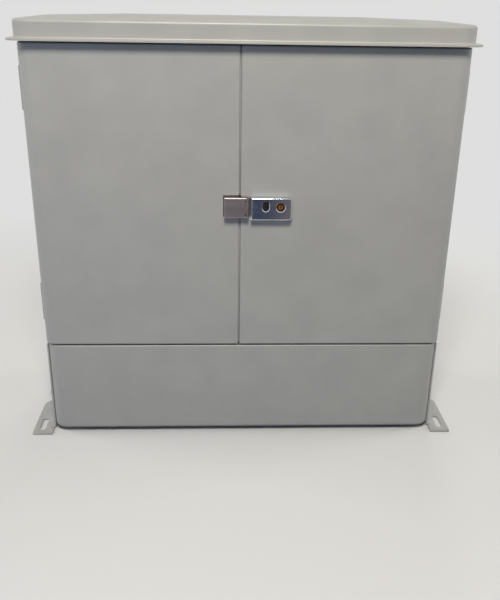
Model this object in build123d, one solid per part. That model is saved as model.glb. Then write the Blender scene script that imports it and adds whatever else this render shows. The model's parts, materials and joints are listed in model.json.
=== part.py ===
from build123d import *
import os
from math import cos, radians, sin

os.makedirs("parts", exist_ok=True)

# Two-door roadside cabinet for telephone cables, moulded in glass-fibre compound.
# Millimetres: X runs to the right, Y to the back and Z up.
# The origin is on the ground under the middle of the cabinet.

# Body
body_width = 950.0
body_depth = 350.0
wall = 5.0
corner_radius = 25.0
reveal = 4.0  # under the doors and at their hinge seams
ground_gap = 12.0

# Plinth
plinth_top = 241.0
plinth_inset = 2.0
plinth_corner = 32.0
plinth_foot_round = 9.0
plinth_top_round = 3.0
plinth_flange = 45.0
cable_pit_width = 660.0
cable_pit_depth = 190.0

# Doors
door_height = 679.0
door_depth = 39.0
door_edge_round = 3.5
door_gap = 2.5  # between the doors
meeting_x = -13.5  # middle of that gap
rib = 4.0
rib_height = 14.0
rib_places = (184.0, 312.0)  # from the meeting edge to each upright rib
cross_rib_inset = 107.0  # from the seal to each cross rib
jamb_width = 45.0
jamb_round = 6.0

# Lid
lid_gap = 3.0  # between the doors and the lip
lid_fit = 0.5  # round the panels
skirt_height = 41.5
crown_rise = 7.0
crown_run_x = 190.0
crown_run_y = 110.0
lip_reach = 16.0
lip_thickness = 4.0
lip_fillet = 4.0
lid_shoulder = 7.0
lip_edge_round = 1.2

# Side and back panels
back_return = 75.0
back_lap = 38.0
joggle_gap = 4.0
joggle_run = 8.0
panel_bolt_rise = 40.0  # above the plinth
panel_bolt_drop = 10.0  # under the lid

# Front header
header_drop = 45.0  # web below the top of the doors
header_rise = 20.0  # web above the shelf
header_shelf = 4.0
header_shelf_gap = 4.0
header_setback = 4.0  # from the front of the doors to the shelf
header_lug = 38.0
header_lug_height = 50.0
header_lug_drop = 37.5  # of the lug below the shelf
header_bolt_in = 20.0  # from the side of the body
header_bolt_drop = 14.0  # under the shelf
header_bolt_pitch = 16.0

# Seals
seal_width = 10.0
seal_thickness = 3.5
soft_gap = 0.3
seal_from_edge = 34.0
seal_from_top = 30.0
seal_from_bottom = 15.0
meeting_seal_setback = 3.5  # from the front of the doors
meeting_seal_width = 30.0

# Bottom plate
plate = 2.0
plate_gap = 1.0
upstand = 32.0

# Steel frame
frame_from_back = 115.0  # from the back of the body to the rails
upright_inset = 45.0  # from the side of the body
upright_width = 40.0
upright_depth = 35.0
upright_top = 905.0
section_wall = 2.5
section_bend = 4.0
rail_height = 40.0
rail_depth = 15.0
rail_lip = 12.0
rail_over = 22.0
top_rail_z = 860.0
bottom_rail_z = 398.0
clamp_rail_z = 322.0

# Terminal modules
column_pitch = 180.0
column_width = 110.0
column_count = 4
carrier_depth = 12.0
carrier_over = 12.0
module_count = 13
module_pitch = 38.0
module_gap = 4.0
module_depth = 30.0
module_shoulder = 12.0
module_shoulder_height = 6.0

# Jumper guides
ring_count = 4
ring_pitch = 130.0
ring_inner_width = 34.0
ring_inner_depth = 50.0
ring_bar = 4.0
ring_corner = 4.0
ring_height = 8.0
guide_strip_width = 20.0
guide_strip = 3.0

# Cable entries
cable_radius = 17.0
clamp_strap = 3.0
clamp_height = 24.0
clamp_foot = 14.0
sleeve_bore = 20.0
sleeve_radius = 30.0
sleeve_collar = 7.0
sleeve_collar_thickness = 5.0

# Earth bar
earth_length = 300.0
earth_width = 25.0
earth_thickness = 6.0
earth_from_back = 45.0  # from the back of the body to its middle
standoff_radius = 9.0
standoff_height = 35.0
earth_holes = 7
earth_hole_radius = 4.5

# Foot brackets
foot_sheet = 4.0
foot_bend = 6.0
foot_reach = 54.0
foot_leg_height = 235.0
foot_leg_width = 97.0
foot_leg_setback = 24.0  # from the front of the doors to the leg
foot_relief = 4.0  # between the leg and the tongue of the flange
foot_flange_ahead = 8.0
foot_between = 24.0  # between the front and the rear flange
foot_slot_width = 14.0
foot_slot_length = 55.0
foot_slot_setback = 37.0
foot_slot_in = 21.0  # from the outer edge of the flange
foot_corner = 28.0
foot_front_corner = 4.0
foot_bolt_low = 95.0
foot_bolt_high = 195.0

# Fasteners
bolt_radius = 5.0
bolt_head = 8.5  # half across the flats
bolt_head_height = 6.5
nut_height = 5.0
thread_end = 2.0  # beyond the nut
small_bolt_radius = 3.0
small_head_radius = 5.5
small_head_height = 2.5
small_nut_height = 3.0
hole_clearance = 0.2

# Hinges
hinge_out = 4.0  # axis outside the side wall
knuckle_radius = 3.0
pin_radius = 1.5
running_fit = 0.05
leaf = 1.8
leaf_width = 25.0
leaf_crank = 12.0
hinge_height = 90.0
jamb_knuckle = 22.5
hinge_from_end = 95.0
knuckle_gap = 0.4
knuckle_side_gap = 0.6
pin_head = 1.5

# Lock
lock_z = 582.5
lock_height = 51.0
lock_stand = 18.0
lock_plate_thickness = 2.0
lock_wall = 3.0
lever_left = -49.0
lever_height = 46.0
lever_pivot_x = 2.0
lever_back_gap = 1.0
lever_face = 4.0
lever_round = 2.5
housing_left = 10.6
housing_right = 101.5
housing_round = 3.0
housing_bevel = 2.5
housing_corner = 7.0
ear_thickness = 4.0
ear_offset = 15.0
ear_radius = 3.6
ear_gap = 0.5
lever_pin_radius = 2.0
notch_gap = 1.5
button_x = 43.8
button_z = 589.5
button_width = 14.0
button_height = 23.0
button_fit = 0.3
button_sink = 1.5
button_flange = 2.0
spring_radius = 4.6
spring_wire = 0.6
spring_turns = 3.0
cylinder_x = 77.0
cylinder_z = 586.5
cylinder_radius = 9.25
cylinder_sink = 2.0
keyway_width = 2.0
keyway_height = 9.0
keyway_depth = 5.0
rim_chamfer = 1.6
stud_places = (19.0, 60.5)
stud_radius = 3.0
stud_length = 13.0

# Lock works behind the right door
crank_radius = 12.0
crank_thickness = 4.0
crank_gap = 20.0  # from the skin to the crank
crank_swing = 90.0
crank_pin = 3.0
crank_pin_length = 7.0
crank_boss = 6.5
yoke_play = 0.6
yoke_wall = 4.0
rod_width = 12.0
rod_thickness = 4.0
rod_gap = 0.5
rod_clearance = 0.5
rod_tip = 2.0  # below the top face of the door
guide_block = 30.0
guide_from_end = 60.0

# Bolts of the left door
shoot_x = -52.0
shoot_radius = 4.0
shoot_length = 150.0
shoot_clearance = 0.3
shoot_lug = 8.0
shoot_lug_width = 20.0
shoot_lug_low = 38.0
shoot_lug_high = 110.0
knob_radius = 4.5
knob_length = 9.0
knob_from_tip = 75.0

# Document pocket
pocket_width = 220.0
pocket_height = 160.0
pocket_depth = 20.0
pocket_sheet = 1.5
pocket_x = -270.0
pocket_z = 330.0

# Worked out from the sizes above
half_width = body_width / 2
front = -body_depth / 2
back = body_depth / 2
door_bottom = plinth_top + reveal
door_top = door_bottom + door_height
left_edge = meeting_x - door_gap / 2
right_edge = meeting_x + door_gap / 2
skin_back = front + wall
door_back = front + door_depth
jamb_front = door_back + reveal
jamb_back = jamb_front + wall
jamb_edge = half_width - jamb_width
lip_under = door_top + lid_gap
lid_edge = lip_under + skirt_height
panel_top = lid_edge - wall
shelf_under = door_top + header_shelf_gap
seal_x = half_width - seal_from_edge
seal_top = door_top - seal_from_top
seal_bottom = door_bottom + seal_from_bottom
tray_top = plinth_top + plate
hinge_x = half_width + hinge_out
hinge_y = door_back + reveal / 2
hinge_levels = (door_bottom + hinge_from_end, door_top - hinge_from_end)
upright_x = half_width - upright_inset
frame_y = back - frame_from_back
earth_y = back - earth_from_back
rail_front = frame_y - rail_depth
column_places = [(i - (column_count - 1) / 2) * column_pitch for i in range(column_count)]
carrier_back = rail_front
carrier_front = carrier_back - carrier_depth
column_bottom = bottom_rail_z - rail_height / 2
column_height = module_count * module_pitch + carrier_over
cable_y = rail_front - cable_radius
lock_top = lock_z + lock_height / 2
lock_bottom = lock_z - lock_height / 2
lock_front = front - lock_stand
lock_plate_front = front - lock_plate_thickness
lever_top = lock_top
lever_bottom = lock_top - lever_height
lever_middle = (lever_top + lever_bottom) / 2
lever_pivot_y = lock_front + lever_face
crank_front = skin_back + crank_gap
crank_back = crank_front + crank_thickness
rod_front = crank_back + rod_gap
rod_back = rod_front + rod_thickness
rod_y = (rod_front + rod_back) / 2
crank_start = -crank_swing / 2
pin_reach = crank_radius * cos(radians(crank_start))
rod_offset = (pin_reach + crank_radius) / 2
top_rod_x = cylinder_x + rod_offset
bottom_rod_x = cylinder_x - rod_offset
side_face = half_width - plinth_inset
foot_edge = side_face + foot_reach
foot_leg_front = front + foot_leg_setback
foot_flange_front = front - foot_flange_ahead


def block(x0, x1, y0, y1, z0, z1):
    """Block between two corners."""
    size = Box(abs(x1 - x0), abs(y1 - y0), abs(z1 - z0))
    return Pos((x0 + x1) / 2, (y0 + y1) / 2, (z0 + z1) / 2) * size


def upright_cylinder(x, y, z0, z1, radius):
    """Round bar along Z."""
    return Pos(x, y, (z0 + z1) / 2) * Cylinder(radius, z1 - z0)


def cross_cylinder(x, z, y0, y1, radius):
    """Round bar along Y."""
    return Pos(x, (y0 + y1) / 2, z) * Rot(90, 0, 0) * Cylinder(radius, y1 - y0)


def side_cylinder(y, z, x0, x1, radius):
    """Round bar along X."""
    return Pos((x0 + x1) / 2, y, z) * Rot(0, 90, 0) * Cylinder(radius, abs(x1 - x0))


def rounded_plan(width, depth, radius, z0, z1):
    """Upright prism with rounded corners, about the middle of the cabinet."""
    return extrude(Pos(0, 0, z0) * RectangleRounded(width, depth, radius), z1 - z0)


def front_slot(x, z, width, height, y0, y1):
    """Upright round-ended prism along Y."""
    face = Plane((x, y1, z), x_dir=(1, 0, 0), z_dir=(0, -1, 0)) * SlotOverall(height, width, 90)
    return extrude(face, y1 - y0)


def other_side(part):
    """The same piece on the other side of the cabinet."""
    return mirror(part, about=Plane.YZ)


def other_end(part):
    """The same piece at the back of the cabinet."""
    return mirror(part, about=Plane.XZ)


def joined(parts):
    """One solid from pieces that meet."""
    whole = parts[0]
    for piece in parts[1:]:
        whole += piece
    return whole


# Holes that the lock rods and the bolts of the left door pass through


def rod_slot(x, z0, z1):
    """Clearance for a flat lock rod."""
    half = rod_width / 2 + rod_clearance
    return block(x - half, x + half, rod_front - rod_clearance, rod_back + rod_clearance, z0, z1)


def shoot_hole(z0, z1):
    """Clearance for a round bolt of the left door."""
    return upright_cylinder(shoot_x, rod_y, z0, z1, shoot_radius + rod_clearance)


# Body


def foot_bolt_places():
    """Y and Z of the two bolts of each foot leg, front pair first."""
    middle = foot_leg_front + foot_leg_width / 2
    return [(y, z) for y in (middle, -middle) for z in (foot_bolt_low, foot_bolt_high)]


def base_plinth():
    """Moulded plinth, open to the ground for the cables, with an inward flange on top."""
    width = body_width - 2 * plinth_inset
    depth = body_depth - 2 * plinth_inset
    shell = rounded_plan(width, depth, plinth_corner, ground_gap, plinth_top)
    shell = fillet(shell.edges().group_by(Axis.Z)[0], plinth_foot_round)
    shell = fillet(shell.edges().group_by(Axis.Z)[-1], plinth_top_round)
    inner_corner = plinth_corner - wall
    shell -= rounded_plan(
        width - 2 * wall, depth - 2 * wall, inner_corner, ground_gap + wall, plinth_top - wall
    )
    shell -= rounded_plan(
        width - 2 * plinth_flange, depth - 2 * plinth_flange, inner_corner, plinth_top - wall, plinth_top
    )
    shell -= rounded_plan(cable_pit_width, cable_pit_depth, inner_corner, 0, ground_gap + wall)
    shell -= rod_slot(bottom_rod_x, plinth_top - wall, plinth_top)
    shell -= shoot_hole(plinth_top - wall, plinth_top)
    for y, z in foot_bolt_places():
        shell -= side_cylinder(y, z, -half_width, half_width, bolt_radius + hole_clearance)
    return shell


def panel_bolt_places():
    """X and Z of the bolts through the laps of the left side panel and the back panel."""
    x = -half_width + back_return - back_lap / 2
    low = plinth_top + panel_bolt_rise
    high = lip_under - panel_bolt_drop
    return [(x, low), (x, (low + high) / 2), (x, high)]


def header_bolt_places():
    """X and Z of the bolts through the left jamb and the lug of the header."""
    x = -half_width + header_bolt_in
    high = shelf_under - header_bolt_drop
    return [(x, high - header_bolt_pitch), (x, high)]


def left_side_panel():
    """Side panel with the hinge jamb turned in at the front and a return at the back."""
    middle = wall / 2
    x = -half_width + middle
    path = FilletPolyline(
        (-jamb_edge, jamb_front + middle),
        (x, jamb_front + middle),
        (x, back - middle),
        (-half_width + back_return, back - middle),
        radius=(jamb_round - middle, corner_radius - middle),
    )
    panel = extrude(Pos(0, 0, plinth_top) * trace(path, wall), panel_top - plinth_top)
    for x, z in panel_bolt_places():
        panel -= cross_cylinder(x, z, back - wall, back, small_bolt_radius + hole_clearance)
    for x, z in header_bolt_places():
        panel -= cross_cylinder(x, z, jamb_front, jamb_back, small_bolt_radius + hole_clearance)
    return panel


def back_panel():
    """Back panel, flush with the side returns and joggled in behind them."""
    middle = wall / 2
    edge = half_width - back_return
    lap_line = back - wall - middle
    path = Polyline(
        (-edge - back_lap, lap_line),
        (-edge + joggle_gap, lap_line),
        (-edge + joggle_gap + joggle_run, back - middle),
        (edge - joggle_gap - joggle_run, back - middle),
        (edge - joggle_gap, lap_line),
        (edge + back_lap, lap_line),
    )
    panel = extrude(Pos(0, 0, plinth_top) * trace(path, wall), panel_top - plinth_top)
    for x, z in panel_bolt_places():
        hole = cross_cylinder(x, z, back - 2 * wall, back, small_bolt_radius + hole_clearance)
        panel -= hole
        panel -= other_side(hole)
    return panel


def lid_block(width, depth, radius, bottom, edge):
    """Block with the hipped crown of the lid."""
    lower = Pos(0, 0, edge) * RectangleRounded(width, depth, radius)
    upper = Pos(0, 0, edge + crown_rise) * RectangleRounded(
        width - 2 * crown_run_x, depth - 2 * crown_run_y, radius
    )
    crown = loft([lower.face(), upper.face()], ruled=True)
    return rounded_plan(width, depth, radius, bottom, edge) + crown


def lid_lip(width, depth, radius):
    """Outward lip at the foot of the lid's skirt, with its upper edge softened."""
    lip = rounded_plan(
        width + 2 * lip_reach, depth + 2 * lip_reach, radius + lip_reach, lip_under, lip_under + lip_thickness
    )
    return fillet(lip.edges().group_by(Axis.Z)[-1], lip_edge_round)


def lid():
    """Moulded lid with skirt, outward lip and hipped crown, rounded at its shoulder."""
    out = lid_fit + wall
    width = body_width + 2 * out
    depth = body_depth + 2 * out
    radius = corner_radius + out
    shell = lid_block(width, depth, radius, lip_under, lid_edge)
    shoulder = shell.edges().group_by(Axis.Z)[2]
    shell = fillet(shoulder, lid_shoulder) + lid_lip(width, depth, radius)
    lip_face = shell.faces().filter_by(lambda face: face.inner_wires())[0]
    shell = fillet(lip_face.inner_wires()[0].edges(), lip_fillet)
    return shell - lid_block(
        body_width + 2 * lid_fit, body_depth + 2 * lid_fit, corner_radius + lid_fit, lip_under, lid_edge - wall
    )


def front_header():
    """Header over the doors: a web between the jambs, a shelf with the keeper holes, and end lugs."""
    edge = jamb_edge - soft_gap
    web_bottom = door_top - header_drop
    web_top = shelf_under + header_rise
    shelf_top = shelf_under + header_shelf
    header = block(-edge, edge, jamb_front, jamb_back, web_bottom, web_top)
    reach = half_width - wall - plate_gap
    shelf = block(-reach, reach, front + header_setback, jamb_front, shelf_under, shelf_top)
    header += fillet(shelf.edges().filter_by(Axis.Z).group_by(Axis.Y)[0], corner_radius)
    lug_bottom = shelf_under - header_lug_drop
    lug_top = lug_bottom + header_lug_height
    lug = block(-reach, -edge + header_lug, jamb_back, jamb_back + wall, lug_bottom, lug_top)
    header += lug
    header += other_side(lug)
    for x, z in header_bolt_places():
        hole = cross_cylinder(x, z, jamb_back, jamb_back + wall, small_bolt_radius + hole_clearance)
        header -= hole
        header -= other_side(hole)
    header -= rod_slot(top_rod_x, shelf_under, shelf_top)
    header -= shoot_hole(shelf_under, shelf_top)
    return header


def bottom_plate():
    """Steel plate over the plinth with an upstand for the seal and holes for the cable sleeves."""
    reach = half_width - wall - plate_gap
    inner = jamb_edge - soft_gap
    plate_back = back - 2 * wall - plate_gap
    plate_front = jamb_back + plate_gap
    tray = block(-reach, reach, plate_front, plate_back, plinth_top, tray_top)
    corners = tray.edges().filter_by(Axis.Z).group_by(Axis.Y)[-1]
    tray = fillet(corners, corner_radius)
    tray += block(-inner, inner, jamb_front, plate_front, plinth_top, tray_top)
    tray += block(-inner, inner, jamb_front, jamb_front + plate, plinth_top, tray_top + upstand)
    for x in column_places:
        tray -= upright_cylinder(x, cable_y, plinth_top, tray_top, sleeve_radius)
    return tray


def cable_sleeve(x):
    """Rubber sleeve in the bottom plate, with a collar above and below."""
    low = plinth_top - soft_gap - sleeve_collar_thickness
    high = tray_top + soft_gap + sleeve_collar_thickness
    neck = sleeve_radius - soft_gap
    collar = sleeve_radius + sleeve_collar
    sleeve = upright_cylinder(x, cable_y, low, high, neck)
    sleeve += upright_cylinder(x, cable_y, low, low + sleeve_collar_thickness, collar)
    sleeve += upright_cylinder(x, cable_y, high - sleeve_collar_thickness, high, collar)
    return sleeve - upright_cylinder(x, cable_y, low, high, sleeve_bore)


def frame_seal():
    """Rubber seal on the frame, round the opening of both doors."""
    plane = Plane((0, jamb_front, (seal_top + seal_bottom) / 2), x_dir=(1, 0, 0), z_dir=(0, -1, 0))
    width = 2 * seal_x
    height = seal_top - seal_bottom
    outer = RectangleRounded(width + seal_width, height + seal_width, seal_width)
    inner = Rectangle(width - seal_width, height - seal_width)
    return extrude(plane * (outer - inner), seal_thickness)


# Foot brackets


def foot_bracket():
    """Bent steel foot at the front left, with an anchor slot in its floor flange."""
    middle = foot_sheet / 2
    leg_face = -side_face - middle
    path = FilletPolyline(
        (leg_face, foot_leg_height),
        (leg_face, middle),
        (-foot_edge, middle),
        radius=foot_bend,
    )
    section = Plane((0, foot_leg_front + foot_leg_width, 0), x_dir=(1, 0, 0), z_dir=(0, -1, 0)) * trace(
        path, foot_sheet
    )
    bracket = extrude(section, foot_leg_width)
    flange_back = -foot_between / 2
    inner_edge = -side_face - foot_sheet - foot_bend
    flange = block(-foot_edge, inner_edge, foot_flange_front, flange_back, 0, foot_sheet)
    tongue_front = foot_leg_front - foot_relief
    flange += block(inner_edge, -side_face - foot_sheet, foot_flange_front, tongue_front, 0, foot_sheet)
    outer = flange.edges().filter_by(Axis.Z).group_by(Axis.X)[0].sort_by(Axis.Y)
    flange = fillet(outer[-1], foot_corner)
    outer = flange.edges().filter_by(Axis.Z).group_by(Axis.X)[0].sort_by(Axis.Y)
    flange = fillet(outer[0], foot_front_corner)
    bracket += flange
    bracket -= foot_slot()
    for y, z in foot_bolt_places()[:2]:
        bracket -= side_cylinder(y, z, -half_width - wall, 0, bolt_radius + hole_clearance)
    return bracket


def foot_slot():
    """Anchor slot of the front left foot."""
    x = -foot_edge + foot_slot_in
    y = front + foot_slot_setback
    return extrude(Pos(x, y, 0) * SlotOverall(foot_slot_length, foot_slot_width, 90), foot_sheet)


def hexagon_head(across, height):
    """Hexagon prism along Z from the origin."""
    return extrude(RegularPolygon(across, 6, major_radius=False), height)


def foot_bolt(y, z):
    """Hexagon bolt through a left foot leg and the plinth wall, with its nut."""
    outside = -side_face - foot_sheet
    inside = -side_face + wall
    turn = Rot(0, 90, 0)
    head = Pos(outside - bolt_head_height, y, z) * turn * hexagon_head(bolt_head, bolt_head_height)
    nut = Pos(inside, y, z) * turn * hexagon_head(bolt_head, nut_height)
    shank = side_cylinder(y, z, outside, inside + nut_height + thread_end, bolt_radius)
    return head + nut + shank


def foot_bolts():
    """All bolts of the feet."""
    left = [foot_bolt(y, z) for y, z in foot_bolt_places()]
    return left + [other_side(bolt) for bolt in left]


def small_bolt(x, z, head_face, nut_face):
    """Round-headed bolt along Y with its nut, from its head's seat to its nut's seat."""
    back_way = 1 if nut_face > head_face else -1
    head_out = head_face - back_way * small_head_height
    nut_out = nut_face + back_way * small_nut_height
    head = cross_cylinder(x, z, min(head_face, head_out), max(head_face, head_out), small_head_radius)
    nut = cross_cylinder(x, z, min(nut_face, nut_out), max(nut_face, nut_out), small_head_radius)
    shank = cross_cylinder(x, z, min(head_face, nut_out), max(head_face, nut_out), small_bolt_radius)
    return head + nut + shank


def panel_bolts():
    """Bolts of the back laps and of the header's lugs."""
    left = [small_bolt(x, z, back, back - 2 * wall) for x, z in panel_bolt_places()]
    left += [small_bolt(x, z, jamb_front, jamb_back + wall) for x, z in header_bolt_places()]
    return left + [other_side(bolt) for bolt in left]


# Steel frame inside


def rail_bolt_places():
    """X and Z of the bolts that join the rails to the left upright."""
    return [(-upright_x, z) for z in (clamp_rail_z, bottom_rail_z, top_rail_z)]


def left_upright():
    """Channel upright, open to the back, on the bottom plate."""
    middle = section_wall / 2
    half = upright_width / 2 - middle
    path = FilletPolyline(
        (-upright_x - half, frame_y + upright_depth),
        (-upright_x - half, frame_y + middle),
        (-upright_x + half, frame_y + middle),
        (-upright_x + half, frame_y + upright_depth),
        radius=section_bend,
    )
    channel = extrude(Pos(0, 0, tray_top) * trace(path, section_wall), upright_top - tray_top)
    for x, z in rail_bolt_places():
        channel -= cross_cylinder(x, z, frame_y, frame_y + section_wall, small_bolt_radius + hole_clearance)
    return channel


def rail(z):
    """Lipped channel rail across the uprights, open to the front."""
    middle = section_wall / 2
    half = rail_height / 2 - middle
    web = frame_y - middle
    lip = rail_front + middle
    mouth = rail_height / 2 - rail_lip
    length = 2 * (upright_x + rail_over)
    path = FilletPolyline(
        (lip, mouth), (lip, half), (web, half), (web, -half), (lip, -half), (lip, -mouth), radius=section_bend
    )
    plane = Plane((-length / 2, 0, z), x_dir=(0, 1, 0), z_dir=(1, 0, 0))
    channel = extrude(plane * trace(path, section_wall), length)
    for x in (-upright_x, upright_x):
        channel -= cross_cylinder(x, z, frame_y - section_wall, frame_y, small_bolt_radius + hole_clearance)
    return channel


def frame_bolts():
    """Bolts that join the rails to the uprights."""
    left = [
        small_bolt(x, z, frame_y - section_wall, frame_y + section_wall) for x, z in rail_bolt_places()
    ]
    return left + [other_side(bolt) for bolt in left]


def module_column(x):
    """Column of terminal modules on their carrier."""
    half = column_width / 2
    top = column_bottom + column_height
    column = [block(x - half, x + half, carrier_front, carrier_back, column_bottom, top)]
    first = column_bottom + carrier_over / 2
    for i in range(module_count):
        low = first + i * module_pitch + module_gap / 2
        high = low + module_pitch - module_gap
        face = carrier_front - module_depth
        step = face + module_shoulder
        column.append(block(x - half, x + half, step, carrier_front, low, high))
        inset = module_shoulder_height
        column.append(block(x - half + inset, x + half - inset, face, step, low + inset, high - inset))
    return joined(column)


def jumper_guide(x):
    """Steel strip with wire rings, between two columns."""
    strip_front = rail_front - guide_strip
    top = column_bottom + column_height
    half = guide_strip_width / 2
    guide = block(x - half, x + half, strip_front, rail_front, column_bottom, top)
    first = (column_bottom + top) / 2 - (ring_count - 1) * ring_pitch / 2
    width = ring_inner_width + 2 * ring_bar
    depth = ring_inner_depth + 2 * ring_bar
    for i in range(ring_count):
        low = first + i * ring_pitch - ring_height / 2
        middle = strip_front - depth / 2
        outer = Pos(x, middle, low) * RectangleRounded(width, depth, ring_corner + ring_bar)
        inner = Pos(x, middle, low) * RectangleRounded(ring_inner_width, ring_inner_depth, ring_corner)
        guide += extrude(outer - inner, ring_height)
    return guide


def cable_clamp(x):
    """Strap that holds a cable against the clamp rail."""
    low = clamp_rail_z - clamp_height / 2
    outer = cable_radius + clamp_strap
    strap = upright_cylinder(x, cable_y, low, low + clamp_height, outer)
    strap -= block(x - outer, x + outer, cable_y, cable_y + outer, low, low + clamp_height)
    strap += block(x - outer, x + outer, cable_y, rail_front, low, low + clamp_height)
    foot = outer + clamp_foot
    strap += block(x - foot, x + foot, rail_front - clamp_strap, rail_front, low, low + clamp_height)
    strap -= upright_cylinder(x, cable_y, low, low + clamp_height, cable_radius)
    return strap - block(
        x - cable_radius, x + cable_radius, cable_y, rail_front, low, low + clamp_height
    )


def earth_bar():
    """Copper earth bar with its row of holes."""
    low = tray_top + standoff_height
    half = earth_length / 2
    bar = block(-half, half, earth_y - earth_width / 2, earth_y + earth_width / 2, low, low + earth_thickness)
    pitch = earth_length / (earth_holes + 1)
    for i in range(earth_holes):
        bar -= upright_cylinder(-half + (i + 1) * pitch, earth_y, low, low + earth_thickness, earth_hole_radius)
    return bar


def earth_standoffs():
    """Insulators that carry the earth bar."""
    pitch = earth_length / (earth_holes + 1)
    x = earth_length / 2 - pitch / 2
    return [
        upright_cylinder(place, earth_y, tray_top, tray_top + standoff_height, standoff_radius)
        for place in (-x, x)
    ]


# Hinges, for the left door


def knuckle(z0, z1):
    """One knuckle of a hinge, without its bore."""
    return upright_cylinder(-hinge_x, hinge_y, z0, z1, knuckle_radius)


def pin_bore(z0, z1):
    """Bore of a hinge."""
    return upright_cylinder(-hinge_x, hinge_y, z0, z1, pin_radius + running_fit)


def jamb_leaf(z):
    """Leaf on the jamb, with the upper and the lower knuckle."""
    low = z - hinge_height / 2
    high = z + hinge_height / 2
    edge = -hinge_x + knuckle_radius + knuckle_side_gap
    piece = block(edge, edge + leaf_width, jamb_front - leaf, jamb_front, low, high)
    for z0, z1 in ((low, low + jamb_knuckle), (high - jamb_knuckle, high)):
        piece += knuckle(z0, z1)
        piece += block(-hinge_x, edge, jamb_front - leaf, jamb_front, z0, z1)
    return piece - pin_bore(low, high)


def door_leaf(z):
    """Leaf cranked on to the inside of the door's side wall, with the middle knuckle."""
    low = z - hinge_height / 2 + jamb_knuckle + knuckle_gap
    high = z + hinge_height / 2 - jamb_knuckle - knuckle_gap
    edge = -hinge_x + knuckle_radius + knuckle_side_gap
    inside = -half_width + wall
    piece = knuckle(low, high)
    piece += block(-hinge_x, edge, door_back, door_back + leaf, low, high)
    long_low = z - hinge_height / 2
    long_high = z + hinge_height / 2
    piece += block(edge, inside + leaf, door_back, door_back + leaf, long_low, long_high)
    piece += block(inside, inside + leaf, door_back - leaf_crank, door_back + leaf, long_low, long_high)
    return piece - pin_bore(low, high)


def left_hinge_pins():
    """Pins of the left door's hinges, with their heads."""
    pins = []
    for z in hinge_levels:
        low = z - hinge_height / 2
        high = z + hinge_height / 2
        pin = upright_cylinder(-hinge_x, hinge_y, low, high, pin_radius)
        head = upright_cylinder(-hinge_x, hinge_y, high, high + pin_head, knuckle_radius - running_fit)
        pins.append(pin + head)
    return pins


# Doors


def door_pan(edge):
    """Right door as moulded, from its meeting edge, without what differs between the doors."""
    outline = Polyline(
        (edge, front), (half_width, front), (half_width, door_back), (edge, door_back), close=True
    )
    face = make_face(outline)
    corner = face.vertices().sort_by(Axis.X)[-2:].sort_by(Axis.Y)[0]
    face = fillet(corner, corner_radius)
    pan = extrude(Pos(0, 0, door_bottom) * face, door_height)
    rims = pan.faces().sort_by(Axis.Y)[0].edges()
    pan = fillet(rims.filter_by(Axis.X) + rims.sort_by(Axis.X)[:1], door_edge_round)
    inner = make_face(
        Polyline(
            (edge + wall, skin_back),
            (half_width - wall, skin_back),
            (half_width - wall, door_back),
            (edge + wall, door_back),
            close=True,
        )
    )
    corner = inner.vertices().sort_by(Axis.X)[-2:].sort_by(Axis.Y)[0]
    inner = fillet(corner, corner_radius - wall)
    pan -= extrude(Pos(0, 0, door_bottom + wall) * inner, door_height - 2 * wall)
    return pan + door_dam(edge) + door_ribs(edge)


def door_dam(edge):
    """Rib that presses on the frame seal at the top, the hinge side and the bottom."""
    dam_back = jamb_front - seal_thickness - soft_gap
    inner = edge + wall
    half = rib / 2
    dam = block(inner, seal_x + half, skin_back, dam_back, seal_top - half, seal_top + half)
    dam += block(inner, seal_x + half, skin_back, dam_back, seal_bottom - half, seal_bottom + half)
    dam += block(seal_x - half, seal_x + half, skin_back, dam_back, seal_bottom, seal_top)
    return dam


def door_ribs(edge):
    """Stiffening ribs inside the skin of the right door."""
    half = rib / 2
    rib_back = skin_back + rib_height
    ribs = []
    for place in rib_places:
        x = edge + place
        ribs.append(block(x - half, x + half, skin_back, rib_back, seal_bottom, seal_top))
    for z in (seal_bottom + cross_rib_inset, seal_top - cross_rib_inset):
        ribs.append(block(edge + wall, seal_x, skin_back, rib_back, z - half, z + half))
    return joined(ribs)


def rod_guide(x, low):
    """Moulded block that guides a lock rod."""
    half = guide_block / 2
    return block(x - half, x + half, skin_back, rod_back + yoke_wall, low, low + guide_block)


def shoot_lugs():
    """Moulded lugs that guide the bolts of the left door."""
    half = shoot_lug_width / 2
    lugs = []
    for offset in (shoot_lug_low, shoot_lug_high):
        for low in (door_bottom + offset, door_top - offset - shoot_lug):
            lugs.append(
                block(shoot_x - half, shoot_x + half, skin_back, rod_y + half, low, low + shoot_lug)
            )
    return joined(lugs)


def left_door():
    """Left door: its meeting edge is notched round the lock, and its bolts run in moulded lugs."""
    pan = other_side(door_pan(-left_edge)) + shoot_lugs()
    pan -= upright_cylinder(shoot_x, rod_y, door_bottom, door_top, shoot_radius + shoot_clearance)
    return pan - block(
        lever_left - notch_gap, right_edge, front, door_back, lever_bottom - notch_gap, lever_top + notch_gap
    )


def right_door():
    """Right door with the holes for the lock and the guides for its rods."""
    pan = door_pan(right_edge)
    pan += rod_guide(top_rod_x, door_top - guide_from_end - guide_block)
    pan += rod_guide(bottom_rod_x, door_bottom + guide_from_end)
    pan -= rod_slot(top_rod_x, cylinder_z, door_top)
    pan -= rod_slot(bottom_rod_x, door_bottom, cylinder_z)
    pan -= cross_cylinder(cylinder_x, cylinder_z, front, skin_back, cylinder_radius + rod_clearance)
    for x in stud_places:
        pan -= cross_cylinder(x, lock_z, front, skin_back, stud_radius + hole_clearance)
    return pan


def meeting_seal():
    """Rubber strips on the meeting edge of the left door, above and below the lock."""
    y = front + meeting_seal_setback
    spans = (
        (door_bottom + wall, lever_bottom - 2 * notch_gap),
        (lever_top + 2 * notch_gap, door_top - wall),
    )
    return [
        block(left_edge, right_edge - soft_gap, y, y + meeting_seal_width, low, high) for low, high in spans
    ]


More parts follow.
